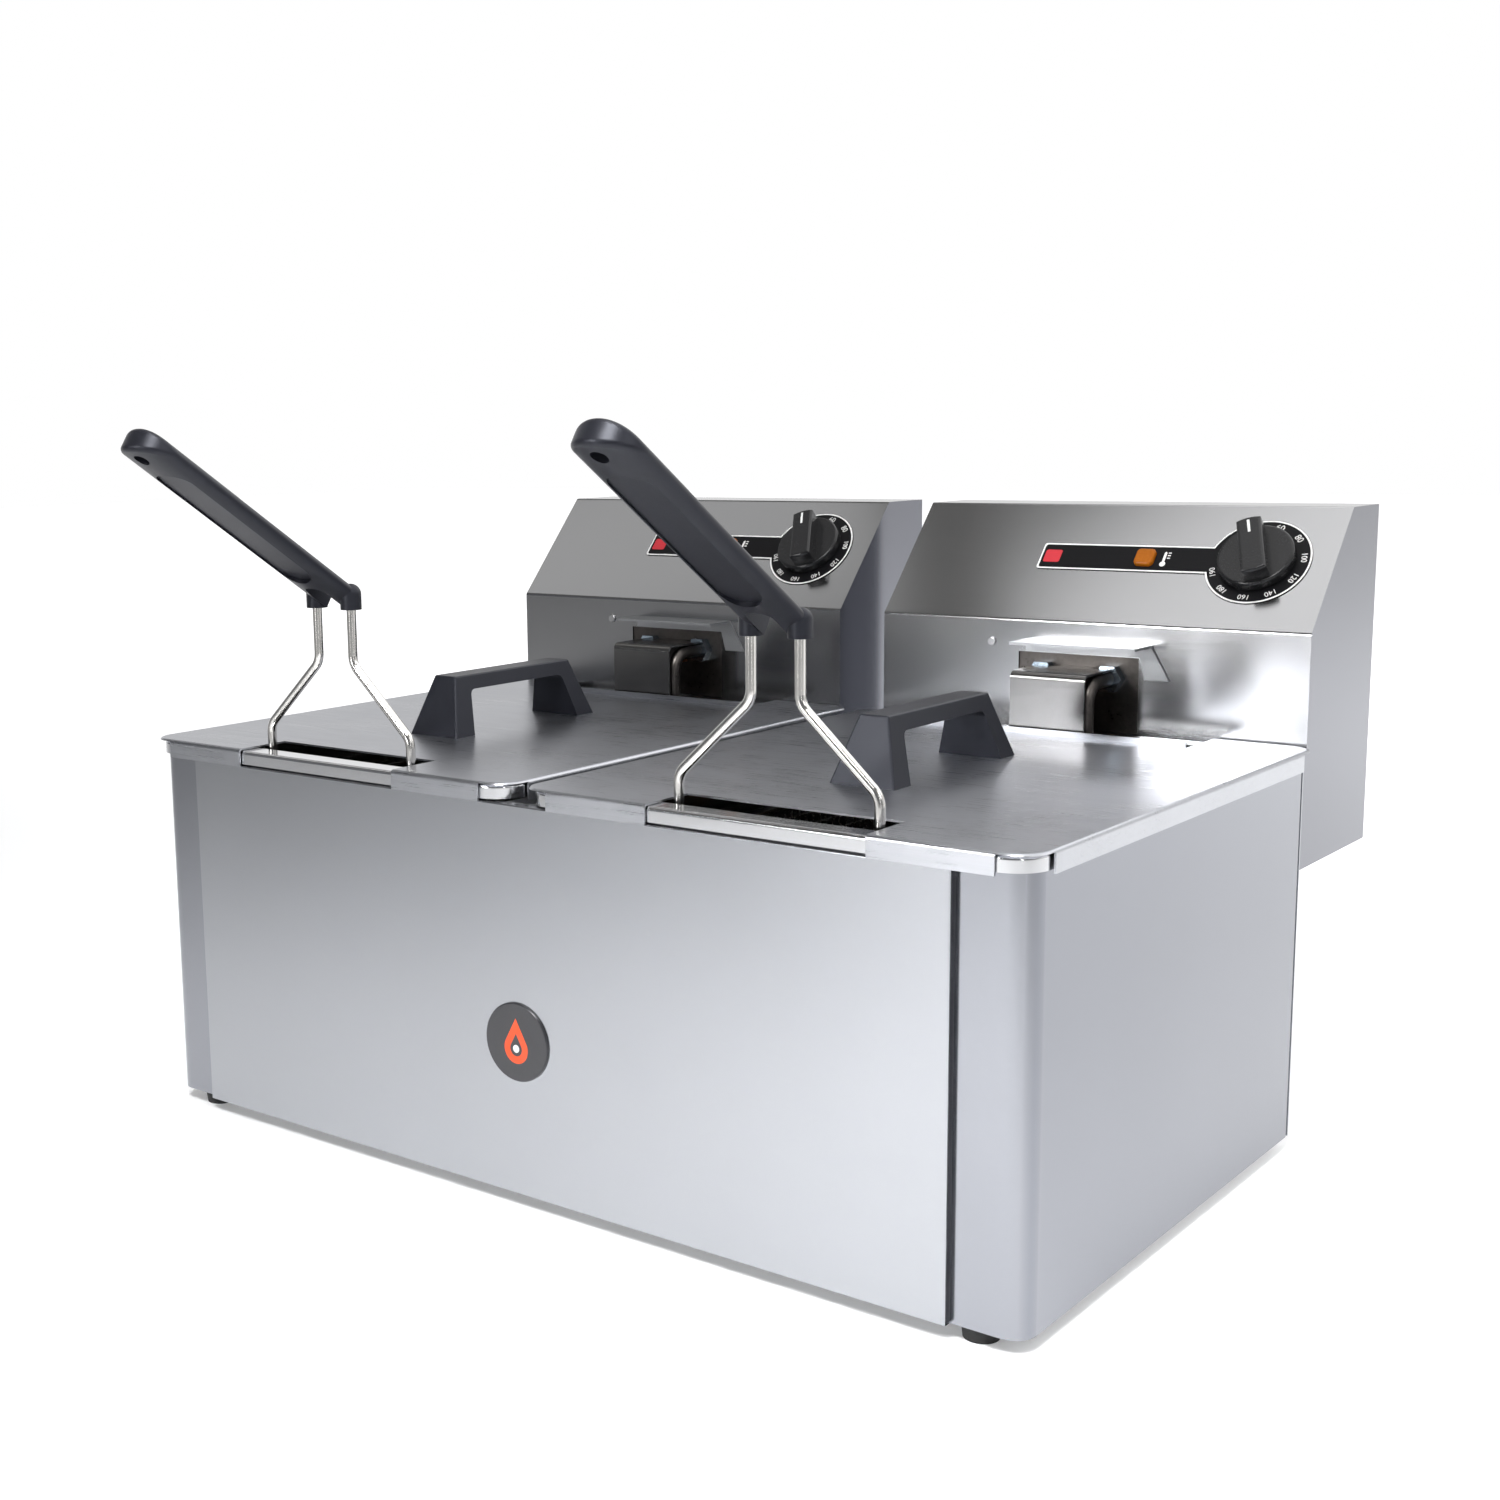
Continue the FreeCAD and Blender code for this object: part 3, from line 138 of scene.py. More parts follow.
def surface(name, colour, roughness, metallic=0.0, grain=400.0, stretch=(1, 1, 1), vary=0.05,
            rough_vary=0.06, bump=0.05, depth=0.0002, smudge=12.0, smudge_vary=0.05,
            brushed=False, turned=None, **constants):
    """Procedural finish: fine grain in colour, gloss and relief, and broad smudges over it.

    A brushed finish stretches its gloss across the brushing, and turned is an axis and the
    colour painted on the faces that look along it, as painted shade for how light falls on them.
    """
    made = bpy.data.materials.new(name)
    made.use_nodes = True
    tree = made.node_tree
    shader = next(n for n in tree.nodes if n.type == "BSDF_PRINCIPLED")
    coords = tree.nodes.new("ShaderNodeTexCoord").outputs["Object"]
    fine = noise_of(tree, coords, grain, stretch, FINE_DETAIL)
    broad = noise_of(tree, coords, smudge, (1, 1, 1), BROAD_DETAIL)
    base = colour_mix(tree, shade(colour, 1 - vary), shade(colour, 1 + vary),
                      spread_map(tree, fine, 0.0, 1.0))
    # Painted shade: faces that look along the turned axis get the turned colour.
    if turned:
        base = painted_facing_shade(tree, base, *turned)
    smudges = colour_mix(tree, shade(WHITE, 1 - smudge_vary), shade(WHITE, 1.0),
                         spread_map(tree, broad, 0.0, 1.0))
    tree.links.new(colour_mix(tree, base, smudges, 1.0, "MULTIPLY"), shader.inputs["Base Color"])
    total = tree.nodes.new("ShaderNodeMath")
    total.operation = "ADD"
    total.use_clamp = True
    fine_gloss = spread_map(tree, fine, roughness - rough_vary, roughness + rough_vary)
    broad_gloss = spread_map(tree, broad, -rough_vary / 2, rough_vary / 2)
    tree.links.new(fine_gloss, total.inputs[0])
    tree.links.new(broad_gloss, total.inputs[1])
    tree.links.new(total.outputs["Value"], shader.inputs["Roughness"])
    relief = add_node(tree, "ShaderNodeBump", Strength=bump, Distance=depth)
    tree.links.new(fine, relief.inputs["Height"])
    tree.links.new(relief.outputs["Normal"], shader.inputs["Normal"])
    shader.inputs["Metallic"].default_value = metallic
    if brushed:
        lay = tree.nodes.new("ShaderNodeVectorMath")
        lay.operation = "CROSS_PRODUCT"
        lay.inputs[1].default_value = ACROSS_BRUSHING
        tree.links.new(tree.nodes.new("ShaderNodeNewGeometry").outputs["Normal"], lay.inputs[0])
        tree.links.new(lay.outputs["Vector"], shader.inputs["Tangent"])
    for key, value in constants.items():
        shader.inputs[key.replace("_", " ")].default_value = value
    return made


# Stretches of the grain, along the axis that is named
ALONG_X = (0.02, 1, 1)
ALONG_Y = (1, 0.02, 1)
ALONG_Z = (1, 1, 0.02)
BRUSHED = dict(metallic=1.0, grain=1700.0, vary=0.02, rough_vary=0.015, bump=0.003,
               depth=0.00004, smudge=7.0, smudge_vary=0.05, brushed=True, Anisotropic=0.6,
               Anisotropic_Rotation=0.25)
front_steel = surface("front_steel", (0.42, 0.43, 0.452), 0.25, stretch=ALONG_X, **BRUSHED)
# Painted shade: the side wraps get a darker copy of the brushed steel, and their sideways-facing
# faces a darker colour still, for how the light falls on them.
shaded_side_steel = surface("shaded_side_steel", (0.32, 0.328, 0.355), 0.20, stretch=ALONG_Y,
                     turned=("X", (0.262, 0.270, 0.298)), **BRUSHED)
# Painted shade: the lid's upward-facing faces get a darker colour than its skirts, for how the
# light falls on them.
lid_steel = surface("lid_steel", (0.50, 0.51, 0.54), 0.30, stretch=ALONG_X,
                    turned=("Z", (0.43, 0.441, 0.478)),
                    **dict(BRUSHED, vary=0.05, rough_vary=0.05, smudge=18.0, smudge_vary=0.14))
# Painted shade: the head's sideways-facing faces get a much darker copy of its colour, for how the
# light falls on them.
head_steel = surface("head_steel", (0.41, 0.412, 0.42), 0.18, stretch=ALONG_X,
                     turned=("X", (0.197, 0.202, 0.227)), **BRUSHED)
tank_steel = surface("tank_steel", (0.66, 0.665, 0.68), 0.16, metallic=1.0, grain=900.0,
                     vary=0.03, rough_vary=0.03, bump=0.03, depth=0.00005, smudge=15.0)
plain_steel = surface("plain_steel", (0.42, 0.428, 0.44), 0.36, metallic=1.0, grain=1100.0,
                      vary=0.05, rough_vary=0.06, bump=0.06, depth=0.00006, smudge=11.0,
                      smudge_vary=0.1)
cover_steel = surface("cover_steel", (0.22, 0.216, 0.212), 0.22, metallic=1.0, grain=900.0,
                      stretch=ALONG_X, vary=0.06, rough_vary=0.05, bump=0.06, depth=0.00005,
                      smudge=40.0, smudge_vary=0.18)
wire_steel = surface("wire_steel", (0.68, 0.665, 0.64), 0.18, metallic=1.0, grain=700.0,
                     stretch=ALONG_Z, vary=0.06, rough_vary=0.05, bump=0.05, depth=0.00005,
                     smudge=60.0, smudge_vary=0.12)
net_steel = surface("net_steel", (0.60, 0.59, 0.57), 0.25, metallic=1.0, grain=900.0, vary=0.08,
                    rough_vary=0.06, bump=0.05, depth=0.00005, smudge=50.0, smudge_vary=0.2)
screw_steel = surface("screw_steel", (0.62, 0.62, 0.63), 0.24, metallic=1.0, grain=1200.0,
                      vary=0.06, rough_vary=0.06, bump=0.06, depth=0.00005, smudge=100.0,
                      smudge_vary=0.15)
# Painted shade: the heating element and its flange plate are made nearly black, darker than their
# own brownish steel, for the shadow in the passage behind the element cover.
element_steel = surface("element_steel", (0.115, 0.105, 0.098), 0.36, metallic=1.0, grain=500.0,
                        vary=0.14, rough_vary=0.1, bump=0.1, depth=0.0001, smudge=30.0,
                        smudge_vary=0.3)
# Painted shade: near-black steel for the strips that stand in for the shadow gap and dark
# reflection at the panel's returns.
painted_seam_shade = surface("painted_seam_shade", (0.085, 0.087, 0.095), 0.45, metallic=1.0, grain=900.0,
                    stretch=ALONG_Z, vary=0.2, rough_vary=0.08, bump=0.05, depth=0.00005,
                    smudge=40.0, smudge_vary=0.2)
zinc = surface("zinc", (0.55, 0.66, 0.76), 0.20, metallic=1.0, grain=900.0, vary=0.08,
               rough_vary=0.06, bump=0.06, depth=0.00005, smudge=120.0, smudge_vary=0.15)
copper = surface("copper", (0.72, 0.36, 0.20), 0.30, metallic=1.0, grain=900.0, vary=0.08,
                 rough_vary=0.07, bump=0.06, depth=0.00005, smudge=80.0, smudge_vary=0.2)
COOL_SHEEN = (0.86, 0.89, 1.0, 1.0)
grip_plastic = surface("grip_plastic", (0.008, 0.0083, 0.012), 0.38, grain=2600.0, vary=0.16,
                       rough_vary=0.05, bump=0.12, depth=0.00008, smudge=45.0, smudge_vary=0.12,
                       Specular_IOR_Level=0.36, Specular_Tint=COOL_SHEEN)
handle_plastic = surface("handle_plastic", (0.011, 0.0115, 0.016), 0.40, grain=2200.0, vary=0.16,
                         rough_vary=0.05, bump=0.14, depth=0.00008, smudge=45.0,
                         smudge_vary=0.12, Specular_IOR_Level=0.36, Specular_Tint=COOL_SHEEN)
knob_plastic = surface("knob_plastic", (0.010, 0.010, 0.011), 0.24, grain=1800.0, vary=0.2,
                       rough_vary=0.05, bump=0.05, depth=0.00005, smudge=70.0, smudge_vary=0.15,
                       Specular_IOR_Level=0.35)
label_black = surface("label_black", (0.005, 0.005, 0.006), 0.38, grain=1500.0, vary=0.15,
                      rough_vary=0.04, bump=0.04, depth=0.00003, smudge=60.0, smudge_vary=0.1,
                      Specular_IOR_Level=0.12)
badge_black = surface("badge_black", (0.018, 0.018, 0.022), 0.33, grain=1500.0, vary=0.15,
                      rough_vary=0.04, bump=0.04, depth=0.00003, smudge=80.0, smudge_vary=0.1,
                      Coat_Weight=0.4)
PRINTED = dict(grain=1800.0, rough_vary=0.04, bump=0.03, depth=0.00002, smudge=90.0)
print_white = surface("print_white", (0.80, 0.80, 0.79), 0.42, vary=0.05, smudge_vary=0.08,
                      **PRINTED)
print_red = surface("print_red", (0.52, 0.020, 0.032), 0.38, vary=0.08, smudge_vary=0.1,
                    **PRINTED)
print_orange = surface("print_orange", (0.78, 0.075, 0.012), 0.36, vary=0.06, smudge_vary=0.08,
                       **PRINTED)
lamp_amber = surface("lamp_amber", (0.30, 0.085, 0.004), 0.18, grain=600.0, vary=0.14,
                     rough_vary=0.05, bump=0.12, depth=0.0002, smudge=120.0, smudge_vary=0.25,
                     Emission_Color=(1.0, 0.30, 0.01, 1.0), Emission_Strength=0.07,
                     Specular_IOR_Level=0.15)
rubber = surface("rubber", (0.018, 0.018, 0.018), 0.72, grain=1500.0, vary=0.2, rough_vary=0.08,
                 bump=0.2, depth=0.0001, smudge=60.0, smudge_vary=0.2)
bakelite = surface("bakelite", (0.060, 0.040, 0.030), 0.40, grain=900.0, vary=0.2,
                   rough_vary=0.08, bump=0.1, depth=0.0001, smudge=60.0, smudge_vary=0.2)
terminal_white = surface("terminal_white", (0.70, 0.68, 0.62), 0.45, grain=1200.0, vary=0.06,
                         rough_vary=0.06, bump=0.08, depth=0.0001, smudge=60.0, smudge_vary=0.1)
reset_red = surface("reset_red", (0.55, 0.02, 0.015), 0.32, grain=1500.0, vary=0.1,
                    rough_vary=0.06, bump=0.06, depth=0.00005, smudge=80.0, smudge_vary=0.15)
gland_black = surface("gland_black", (0.020, 0.020, 0.022), 0.50, grain=1500.0, vary=0.15,
                      rough_vary=0.06, bump=0.1, depth=0.0001, smudge=60.0, smudge_vary=0.15)

CASING_FINISH = {
    "base_pan": plain_steel,
    "front_panel": front_steel,
    "left_side_wrap": shaded_side_steel,
    "right_side_wrap": shaded_side_steel,
    "rear_panel": front_steel,
    "top_rails": plain_steel,
    "head_supports": plain_steel,
    "feet": rubber,
    "badge": badge_black,
    "casing_screws": screw_steel,
}
SIDE_FINISH = {
    "tank": tank_steel,
    "lid": lid_steel,
    "lid_handle": handle_plastic,
    "lid_handle_screws": screw_steel,
    "basket_net": net_steel,
    "basket_frame": wire_steel,
    "basket_stem": wire_steel,
    "basket_grip": grip_plastic,
    "head_housing": head_steel,
    "head_back_cover": head_steel,
    "head_screws": screw_steel,
    "element_cover": cover_steel,
    "basket_hanger": plain_steel,
    "heating_element": element_steel,
    "element_nuts": zinc,
    "sensor_bulbs": copper,
    "thermostat": bakelite,
    "control_label": label_black,
    "pilot_lamp": lamp_amber,
    "safety_cutout": bakelite,
    "terminal_block": terminal_white,
    "cable_gland": gland_black,
    "knob_shaft": screw_steel,
    "knob": knob_plastic,
    "reset_button": reset_red,
}


def dress(node, finish):
    """Gives a carried-over node its finish in place of the plain one."""
    mesh = frame["nodes"][node].data
    mesh.materials.clear()
    mesh.materials.append(finish)


for node, finish in CASING_FINISH.items():
    dress(node, finish)
for side in SIDES:
    for node, finish in SIDE_FINISH.items():
        dress(side + "_" + node, finish)


# Mesh helpers

# No wire runs along this direction, so that each has a side to start from.
OFF_AXIS = (0.31, 0.52, 0.79)


def new_piece(name, part, finish, body, smooth=False):
    """An object made of a part's vertices and faces, which rides on a body."""
    vertices, faces = part
    mesh = bpy.data.meshes.new(name)
    mesh.from_pydata([tuple(map(float, v)) for v in vertices], [], faces)
    mesh.materials.append(finish)
    if smooth:
        mesh.polygons.foreach_set("use_smooth", [True] * len(mesh.polygons))
    mesh.validate()
    piece = bpy.data.objects.new(name, mesh)
    bpy.context.scene.collection.objects.link(piece)
    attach(piece, body)
    return piece


def tube(points, radius, sides, closed):
    """Vertices and faces of a round wire along points."""
    path = np.array(points, float)
    count = len(path)
    ahead = np.roll(path, -1, axis=0) - path
    behind = path - np.roll(path, 1, axis=0)
    if not closed:
        ahead[-1] = behind[-1]
        behind[0] = ahead[0]
    ahead /= np.linalg.norm(ahead, axis=1)[:, None]
    behind /= np.linalg.norm(behind, axis=1)[:, None]
    along = ahead + behind
    along /= np.linalg.norm(along, axis=1)[:, None]
    across = np.cross(along[0], OFF_AXIS)
    vertices = []
    for i in range(count):
        across = across - along[i] * (across @ along[i])
        across /= np.linalg.norm(across)
        other = np.cross(along[i], across)
        for k in range(sides):
            turn = 2 * math.pi * k / sides
            vertices.append(path[i] + radius * (math.cos(turn) * across + math.sin(turn) * other))
    faces = []
    for i in range(count if closed else count - 1):
        low = i * sides
        high = (i + 1) % count * sides
        for k in range(sides):
            after = (k + 1) % sides
            faces.append((low + k, low + after, high + after, high + k))
    if not closed:
        faces.append(tuple(range(sides))[::-1])
        faces.append(tuple((count - 1) * sides + k for k in range(sides)))
    return vertices, faces


def gather(parts):
    """One vertex list and face list from several."""
    vertices, faces = [], []
    for some_vertices, some_faces in parts:
        start = len(vertices)
        vertices.extend(some_vertices)
        faces.extend(tuple(start + i for i in face) for face in some_faces)
    return vertices, faces


# Baskets of woven wire

NET_PITCH = 7.0 * MM
NET_RADIUS = 0.75 * MM
NET_WIRE_SIDES = 6


def places(low, high, pitch):
    """Middles of equal steps of about the pitch between low and high."""
    count = max(2, round((high - low) / pitch))
    return [low + (high - low) * (i + 0.5) / count for i in range(count)]


def woven_basket(side):
    """Wires down each wall and across the floor, woven with rings round the walls."""
    low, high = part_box(side + "_basket_net")
    inset = 2 * NET_RADIUS
    x0, x1 = low.x + inset, high.x - inset
    y0, y1 = low.y + inset, high.y - inset
    z0, z1 = low.z + inset, high.z
    xs = places(x0, x1, NET_PITCH)
    ys = places(y0, y1, NET_PITCH)
    zs = places(z0, z1, NET_PITCH)
    down = zs[::-1]

    def weave(index, station):
        return NET_RADIUS if (index + station) % 2 else -NET_RADIUS

    parts = []
    for k, x in enumerate(xs):
        path = [(x, y0, z1)]
        path += [(x, y0 + weave(k, i), z) for i, z in enumerate(down)]
        path += [(x, y, z0 + weave(k, len(zs) + j)) for j, y in enumerate(ys)]
        path += [(x, y1 - weave(k, i + 1), z) for i, z in enumerate(zs)]
        path += [(x, y1, z1)]
        parts.append(tube(path, NET_RADIUS, NET_WIRE_SIDES, False))
    for j, y in enumerate(ys):
        path = [(x0, y, z1)]
        path += [(x0 + weave(j, i), y, z) for i, z in enumerate(down)]
        path += [(x, y, z0 - weave(j, len(zs) + k)) for k, x in enumerate(xs)]
        path += [(x1 - weave(j, i + 1), y, z) for i, z in enumerate(zs)]
        path += [(x1, y, z1)]
        parts.append(tube(path, NET_RADIUS, NET_WIRE_SIDES, False))
    for i, z in enumerate(zs):
        path = [(x, y0 + weave(k, i), z) for k, x in enumerate(xs)]
        path += [(x1 - weave(j, i), y, z) for j, y in enumerate(ys)]
        path += [(x, y1 - weave(k, i), z) for k, x in enumerate(xs)][::-1]
        path += [(x0 + weave(j, i), y, z) for j, y in enumerate(ys)][::-1]
        parts.append(tube(path, NET_RADIUS, NET_WIRE_SIDES, True))
    net = new_piece(side + "_woven_net", gather(parts), net_steel, side + "_basket", smooth=True)
    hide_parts(side + "_basket_net")


for side in SIDES:
    woven_basket(side)


# Print on the control labels

LABEL_FACE = 0.5 * MM
PRINT_THICKNESS = 0.06 * MM
DIAL_RADIUS = 28.4 * MM
BAR_LENGTH = 127.0 * MM
BAR_HALF = 9.3 * MM
BAR_CORNER = 1.6 * MM
BORDER_OUTER = 0.15 * MM
BORDER_INNER = 1.1 * MM
DIAL_STEPS = 72
CORNER_STEPS = 6
NUMBER_RADIUS = 24.0 * MM
NUMBER_SIZE = 5.2 * MM
LONG_NUMBER_SIZE = 0.86 * NUMBER_SIZE
ZERO_TURN = 110.0
DIAL_SWEEP = 270.0
DIAL_NUMBERS = ("0", "60", "80", "100", "120", "140", "160", "180", "190")
LETTER_STEPS = 3
# The thermometer sign beside the lamp: a bulb under a column, and three marks to its right
STEM_X = -52.6 * MM
STEM_HALF = 0.72 * MM
STEM_SHOULDER = 4.2 * MM
STEM_TIP = 5.0 * MM
BULB_Y = -3.6 * MM
BULB_RADIUS = 1.7 * MM
BULB_TURNS = (115, 425)
BULB_STEPS = 20
MARK_LEFT = STEM_X + 1.5 * MM
MARK_RIGHT = STEM_X + 3.2 * MM
MARK_LEVELS = (0.2, 2.0, 3.8)
MARK_HEIGHT = 0.7
# The red tile at the bar's end: centres and radius of its corners
TILE_LEFT = -123.2 * MM
TILE_RIGHT = -115.6 * MM
TILE_HALF = 3.2 * MM
TILE_CORNER = 1.2 * MM
TILE_STEPS = 5


def slope_frame(side):
    """Matrix from label coordinates (right, up the slope, outward) to the frame."""
    joint = next(j for j in frame["joints"] if j["name"] == side + "_knob_turn")
    outward = -Vector(joint["axis"])
    right = Vector((1, 0, 0))
    up = outward.cross(right)
    centre = Vector(joint["pos_m"])
    turned = Matrix((right, up, outward)).transposed().to_4x4()
    return Matrix.Translation(centre) @ turned


def plate(outline, low, high):
    """Flat plate with the given outline between two levels."""
    count = len(outline)
    vertices = [(x, y, low) for x, y in outline] + [(x, y, high) for x, y in outline]
    faces = [tuple(range(count))[::-1], tuple(range(count, 2 * count))]
    faces += [(i, (i + 1) % count, count + (i + 1) % count, count + i) for i in range(count)]
    return vertices, faces


def band(outer, inner, low, high):
    """Closed strip between two outlines of as many points."""
    count = len(outer)
    vertices = []
    for outline, level in ((outer, low), (inner, low), (inner, high), (outer, high)):
        vertices += [(x, y, level) for x, y in outline]
    faces = []
    for ring in range(4):
        for i in range(count):
            after = (i + 1) % count
            nearby = (ring + 1) % 4 * count
            faces.append((ring * count + i, ring * count + after, nearby + after, nearby + i))
    return vertices, faces


def arc(x, y, radius, start, end, count):
    """Points round a centre, from one turn to another in degrees."""
    turns = [math.radians(start + (end - start) * i / count) for i in range(count + 1)]
    return [(x + radius * math.cos(t), y + radius * math.sin(t)) for t in turns]


def label_outline(inset):
    """The label's bar and dial as one outline, moved inward."""
    radius = DIAL_RADIUS - inset
    half = BAR_HALF - inset
    corner_x = -BAR_LENGTH + inset + BAR_CORNER
    corner_y = half - BAR_CORNER
    meet = math.degrees(math.asin(half / radius))
    outline = arc(0, 0, radius, -180 + meet, 180 - meet, DIAL_STEPS)
    outline += arc(corner_x, corner_y, BAR_CORNER, 90, 180, CORNER_STEPS)
    outline += arc(corner_x, -corner_y, BAR_CORNER, 180, 270, CORNER_STEPS)
    return outline


def moved(part, matrix):
    """A part's vertices and faces after a matrix."""
    vertices, faces = part
    return [matrix @ Vector(v) for v in vertices], faces


def text_part(body, size, thickness):
    """Vertices and faces of a word, centred on its origin."""
    words = bpy.data.curves.new("words", "FONT")
    words.body = body
    words.size = size
    words.align_x = "CENTER"
    words.align_y = "CENTER"
    words.extrude = thickness / 2
    words.resolution_u = LETTER_STEPS
    holder = bpy.data.objects.new("words", words)
    mesh = bpy.data.meshes.new_from_object(holder)
    vertices = [tuple(v.co) for v in mesh.vertices]
    faces = [tuple(p.vertices) for p in mesh.polygons]
    bpy.data.objects.remove(holder)
    bpy.data.meshes.remove(mesh)
    bpy.data.curves.remove(words)
    return vertices, faces


def thermometer(low, high):
    """The sign's plates, between two levels."""
    bulb = arc(STEM_X, BULB_Y, BULB_RADIUS, *BULB_TURNS, BULB_STEPS)
    column = [(STEM_X + STEM_HALF, STEM_SHOULDER), (STEM_X, STEM_TIP),
              (STEM_X - STEM_HALF, STEM_SHOULDER)]
    plates = [plate(bulb + column, low, high)]
    for level in MARK_LEVELS:
        bottom = level * MM
        top = (level + MARK_HEIGHT) * MM
        plates.append(plate([(MARK_LEFT, bottom), (MARK_RIGHT, bottom), (MARK_RIGHT, top),
                             (MARK_LEFT, top)], low, high))
    return plates


def label_print(side):
    """White border, dial numbers and thermometer sign, and the red tile."""
    place = slope_frame(side)
    body = side + "_head"
    low = LABEL_FACE
    high = LABEL_FACE + PRINT_THICKNESS
    marks = [band(label_outline(BORDER_OUTER), label_outline(BORDER_INNER), low, high)]
    for i, number in enumerate(DIAL_NUMBERS):
        turn = math.radians(ZERO_TURN - DIAL_SWEEP * i / (len(DIAL_NUMBERS) - 1))
        spin = Matrix.Rotation(turn - math.pi / 2, 4, "Z")
        seat = Matrix.Translation((0, NUMBER_RADIUS, low + PRINT_THICKNESS / 2))
        size = NUMBER_SIZE if len(number) < 3 else LONG_NUMBER_SIZE
        marks.append(moved(text_part(number, size, PRINT_THICKNESS), spin @ seat))
    marks += thermometer(low, high)
    new_piece(side + "_label_print", moved(gather(marks), place), print_white, body)
    tile = []
    for x, y, start in ((TILE_RIGHT, TILE_HALF, 0), (TILE_LEFT, TILE_HALF, 90),
                        (TILE_LEFT, -TILE_HALF, 180), (TILE_RIGHT, -TILE_HALF, 270)):
        tile += arc(x, y, TILE_CORNER, start, start + 90, TILE_STEPS)
    new_piece(side + "_label_tile", moved(plate(tile, low, high), place), print_red, body)


for side in SIDES:
    label_print(side)


# Pointer on each knob

KNOB_TOP = 16.6 * MM
KNOB_BAR_TURN = 20.0
POINTER_HALF = 0.7 * MM
POINTER_START = 8.0 * MM
POINTER_END = 16.6 * MM

for side in SIDES:
    place = slope_frame(side) @ Matrix.Rotation(math.radians(KNOB_BAR_TURN), 4, "Z")
    stripe = plate([(-POINTER_HALF, POINTER_START), (POINTER_HALF, POINTER_START),
                    (POINTER_HALF, POINTER_END), (-POINTER_HALF, POINTER_END)],
                   KNOB_TOP - PRINT_THICKNESS, KNOB_TOP + PRINT_THICKNESS)
    new_piece(side + "_knob_pointer", moved(stripe, place), print_white, side + "_knob")


# Painted shade: dark strips on the front panel's returns where it turns back onto the side wraps,
# standing in for the shadow gap and the dark reflection there

SEAM_THICKNESS = 0.1 * MM
SEAM_INSET = 0.9 * MM
panel_low, panel_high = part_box("front_panel")
for side, wall, outward in (("left", panel_low.x, -1), ("right", panel_high.x, 1)):
    low_corner = Vector((wall, panel_low.y + SEAM_INSET, panel_low.z + SEAM_INSET))
    high_corner = Vector((wall + outward * SEAM_THICKNESS, panel_high.y,
                          panel_high.z - SEAM_INSET))
    outline = [(low_corner.x, low_corner.y), (high_corner.x, low_corner.y),
               (high_corner.x, high_corner.y), (low_corner.x, high_corner.y)]
    edge = plate(outline[::outward], low_corner.z, high_corner.z)
    new_piece(side + "_seam_shade_strip", edge, painted_seam_shade, "casing")


# Mark on the badge: a plain oil drop

DROP_RADIUS = 7.6 * MM
DROP_TIP = 15.5 * MM
DROP_DOWN = 3.2 * MM
DROP_STEPS = 48
DROP_HOLLOW = 0.5
DOT_RADIUS = 2.0 * MM
DOT_STEPS = 23
DOT_LAST_TURN = 345
badge_low, badge_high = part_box("badge")
badge_middle = (badge_low + badge_high) / 2
to_badge = (Matrix.Translation((badge_middle.x, badge_low.y, badge_middle.z))
            @ Matrix.Rotation(math.pi / 2, 4, "X"))


def drop_outline(scale):
    """A round drop with a tip, scaled about the middle of its round part."""
    side_turn = math.degrees(math.acos(DROP_RADIUS / DROP_TIP))
    outline = arc(0, 0, DROP_RADIUS, 90 + side_turn, 450 - side_turn, DROP_STEPS)
    outline += [(0, DROP_TIP)]
    return [(x * scale, y * scale - DROP_DOWN) for x, y in outline]


drop = band(drop_outline(1.0), drop_outline(DROP_HOLLOW), 0, PRINT_THICKNESS)
new_piece("badge_drop", moved(drop, to_badge), print_orange, "casing")
dot = plate(arc(0, -DROP_DOWN, DOT_RADIUS, 0, DOT_LAST_TURN, DOT_STEPS), 0, PRINT_THICKNESS)
new_piece("badge_dot", moved(dot, to_badge), print_white, "casing")


# Stage: a floor that glows towards the back, under a sky that is white behind the fryer

FLOOR_REACH = 9.0
GLOW_STARTS_Y = -0.6
GLOW_FULL_Y = 1.5
GLOW_MOST = 0.88
FRONT_SKY = (0.17, 0.174, 0.185, 1.0)
BACK_SKY = (1.0, 1.0, 1.0, 1.0)
TOP_SKY = (0.14, 0.137, 0.131, 1.0)
# Shares of a direction's Y and Z over which the sky turns to its back and to its top
BACK_SKY_RANGE = (-0.25, 0.45)
TOP_SKY_RANGE = (0.25, 0.75)


def stage_floor(finish):
    mesh = bpy.data.meshes.new("floor")
    mesh.from_pydata([(-FLOOR_REACH, -FLOOR_REACH, 0), (FLOOR_REACH, -FLOOR_REACH, 0),
                      (FLOOR_REACH, FLOOR_REACH, 0), (-FLOOR_REACH, FLOOR_REACH, 0)],
                     [], [(0, 1, 2, 3)])
    mesh.materials.append(finish)
    sheet = bpy.data.objects.new("floor", mesh)
    bpy.context.scene.collection.objects.link(sheet)


def glow_to_the_back(finish):
    """The floor's far side glows like a lit backdrop, so that it meets the white behind it."""
    tree = finish.node_tree
    shader = next(n for n in tree.nodes if n.type == "BSDF_PRINCIPLED")
    coords = next(n for n in tree.nodes if n.type == "TEX_COORD")
    axes = tree.nodes.new("ShaderNodeSeparateXYZ")
    tree.links.new(coords.outputs["Object"], axes.inputs["Vector"])
    glow = remap(tree, axes.outputs["Y"], GLOW_STARTS_Y, GLOW_FULL_Y, 0.0, GLOW_MOST)
    tree.links.new(glow, shader.inputs["Emission Strength"])


floor_white = surface("floor_white", (0.84, 0.845, 0.855), 0.6, grain=60.0, vary=0.008,
                      rough_vary=0.03, bump=0.0, smudge=2.0, smudge_vary=0.01,
                      Emission_Color=(1.0, 1.0, 1.0, 1.0))
glow_to_the_back(floor_white)
stage_floor(floor_white)

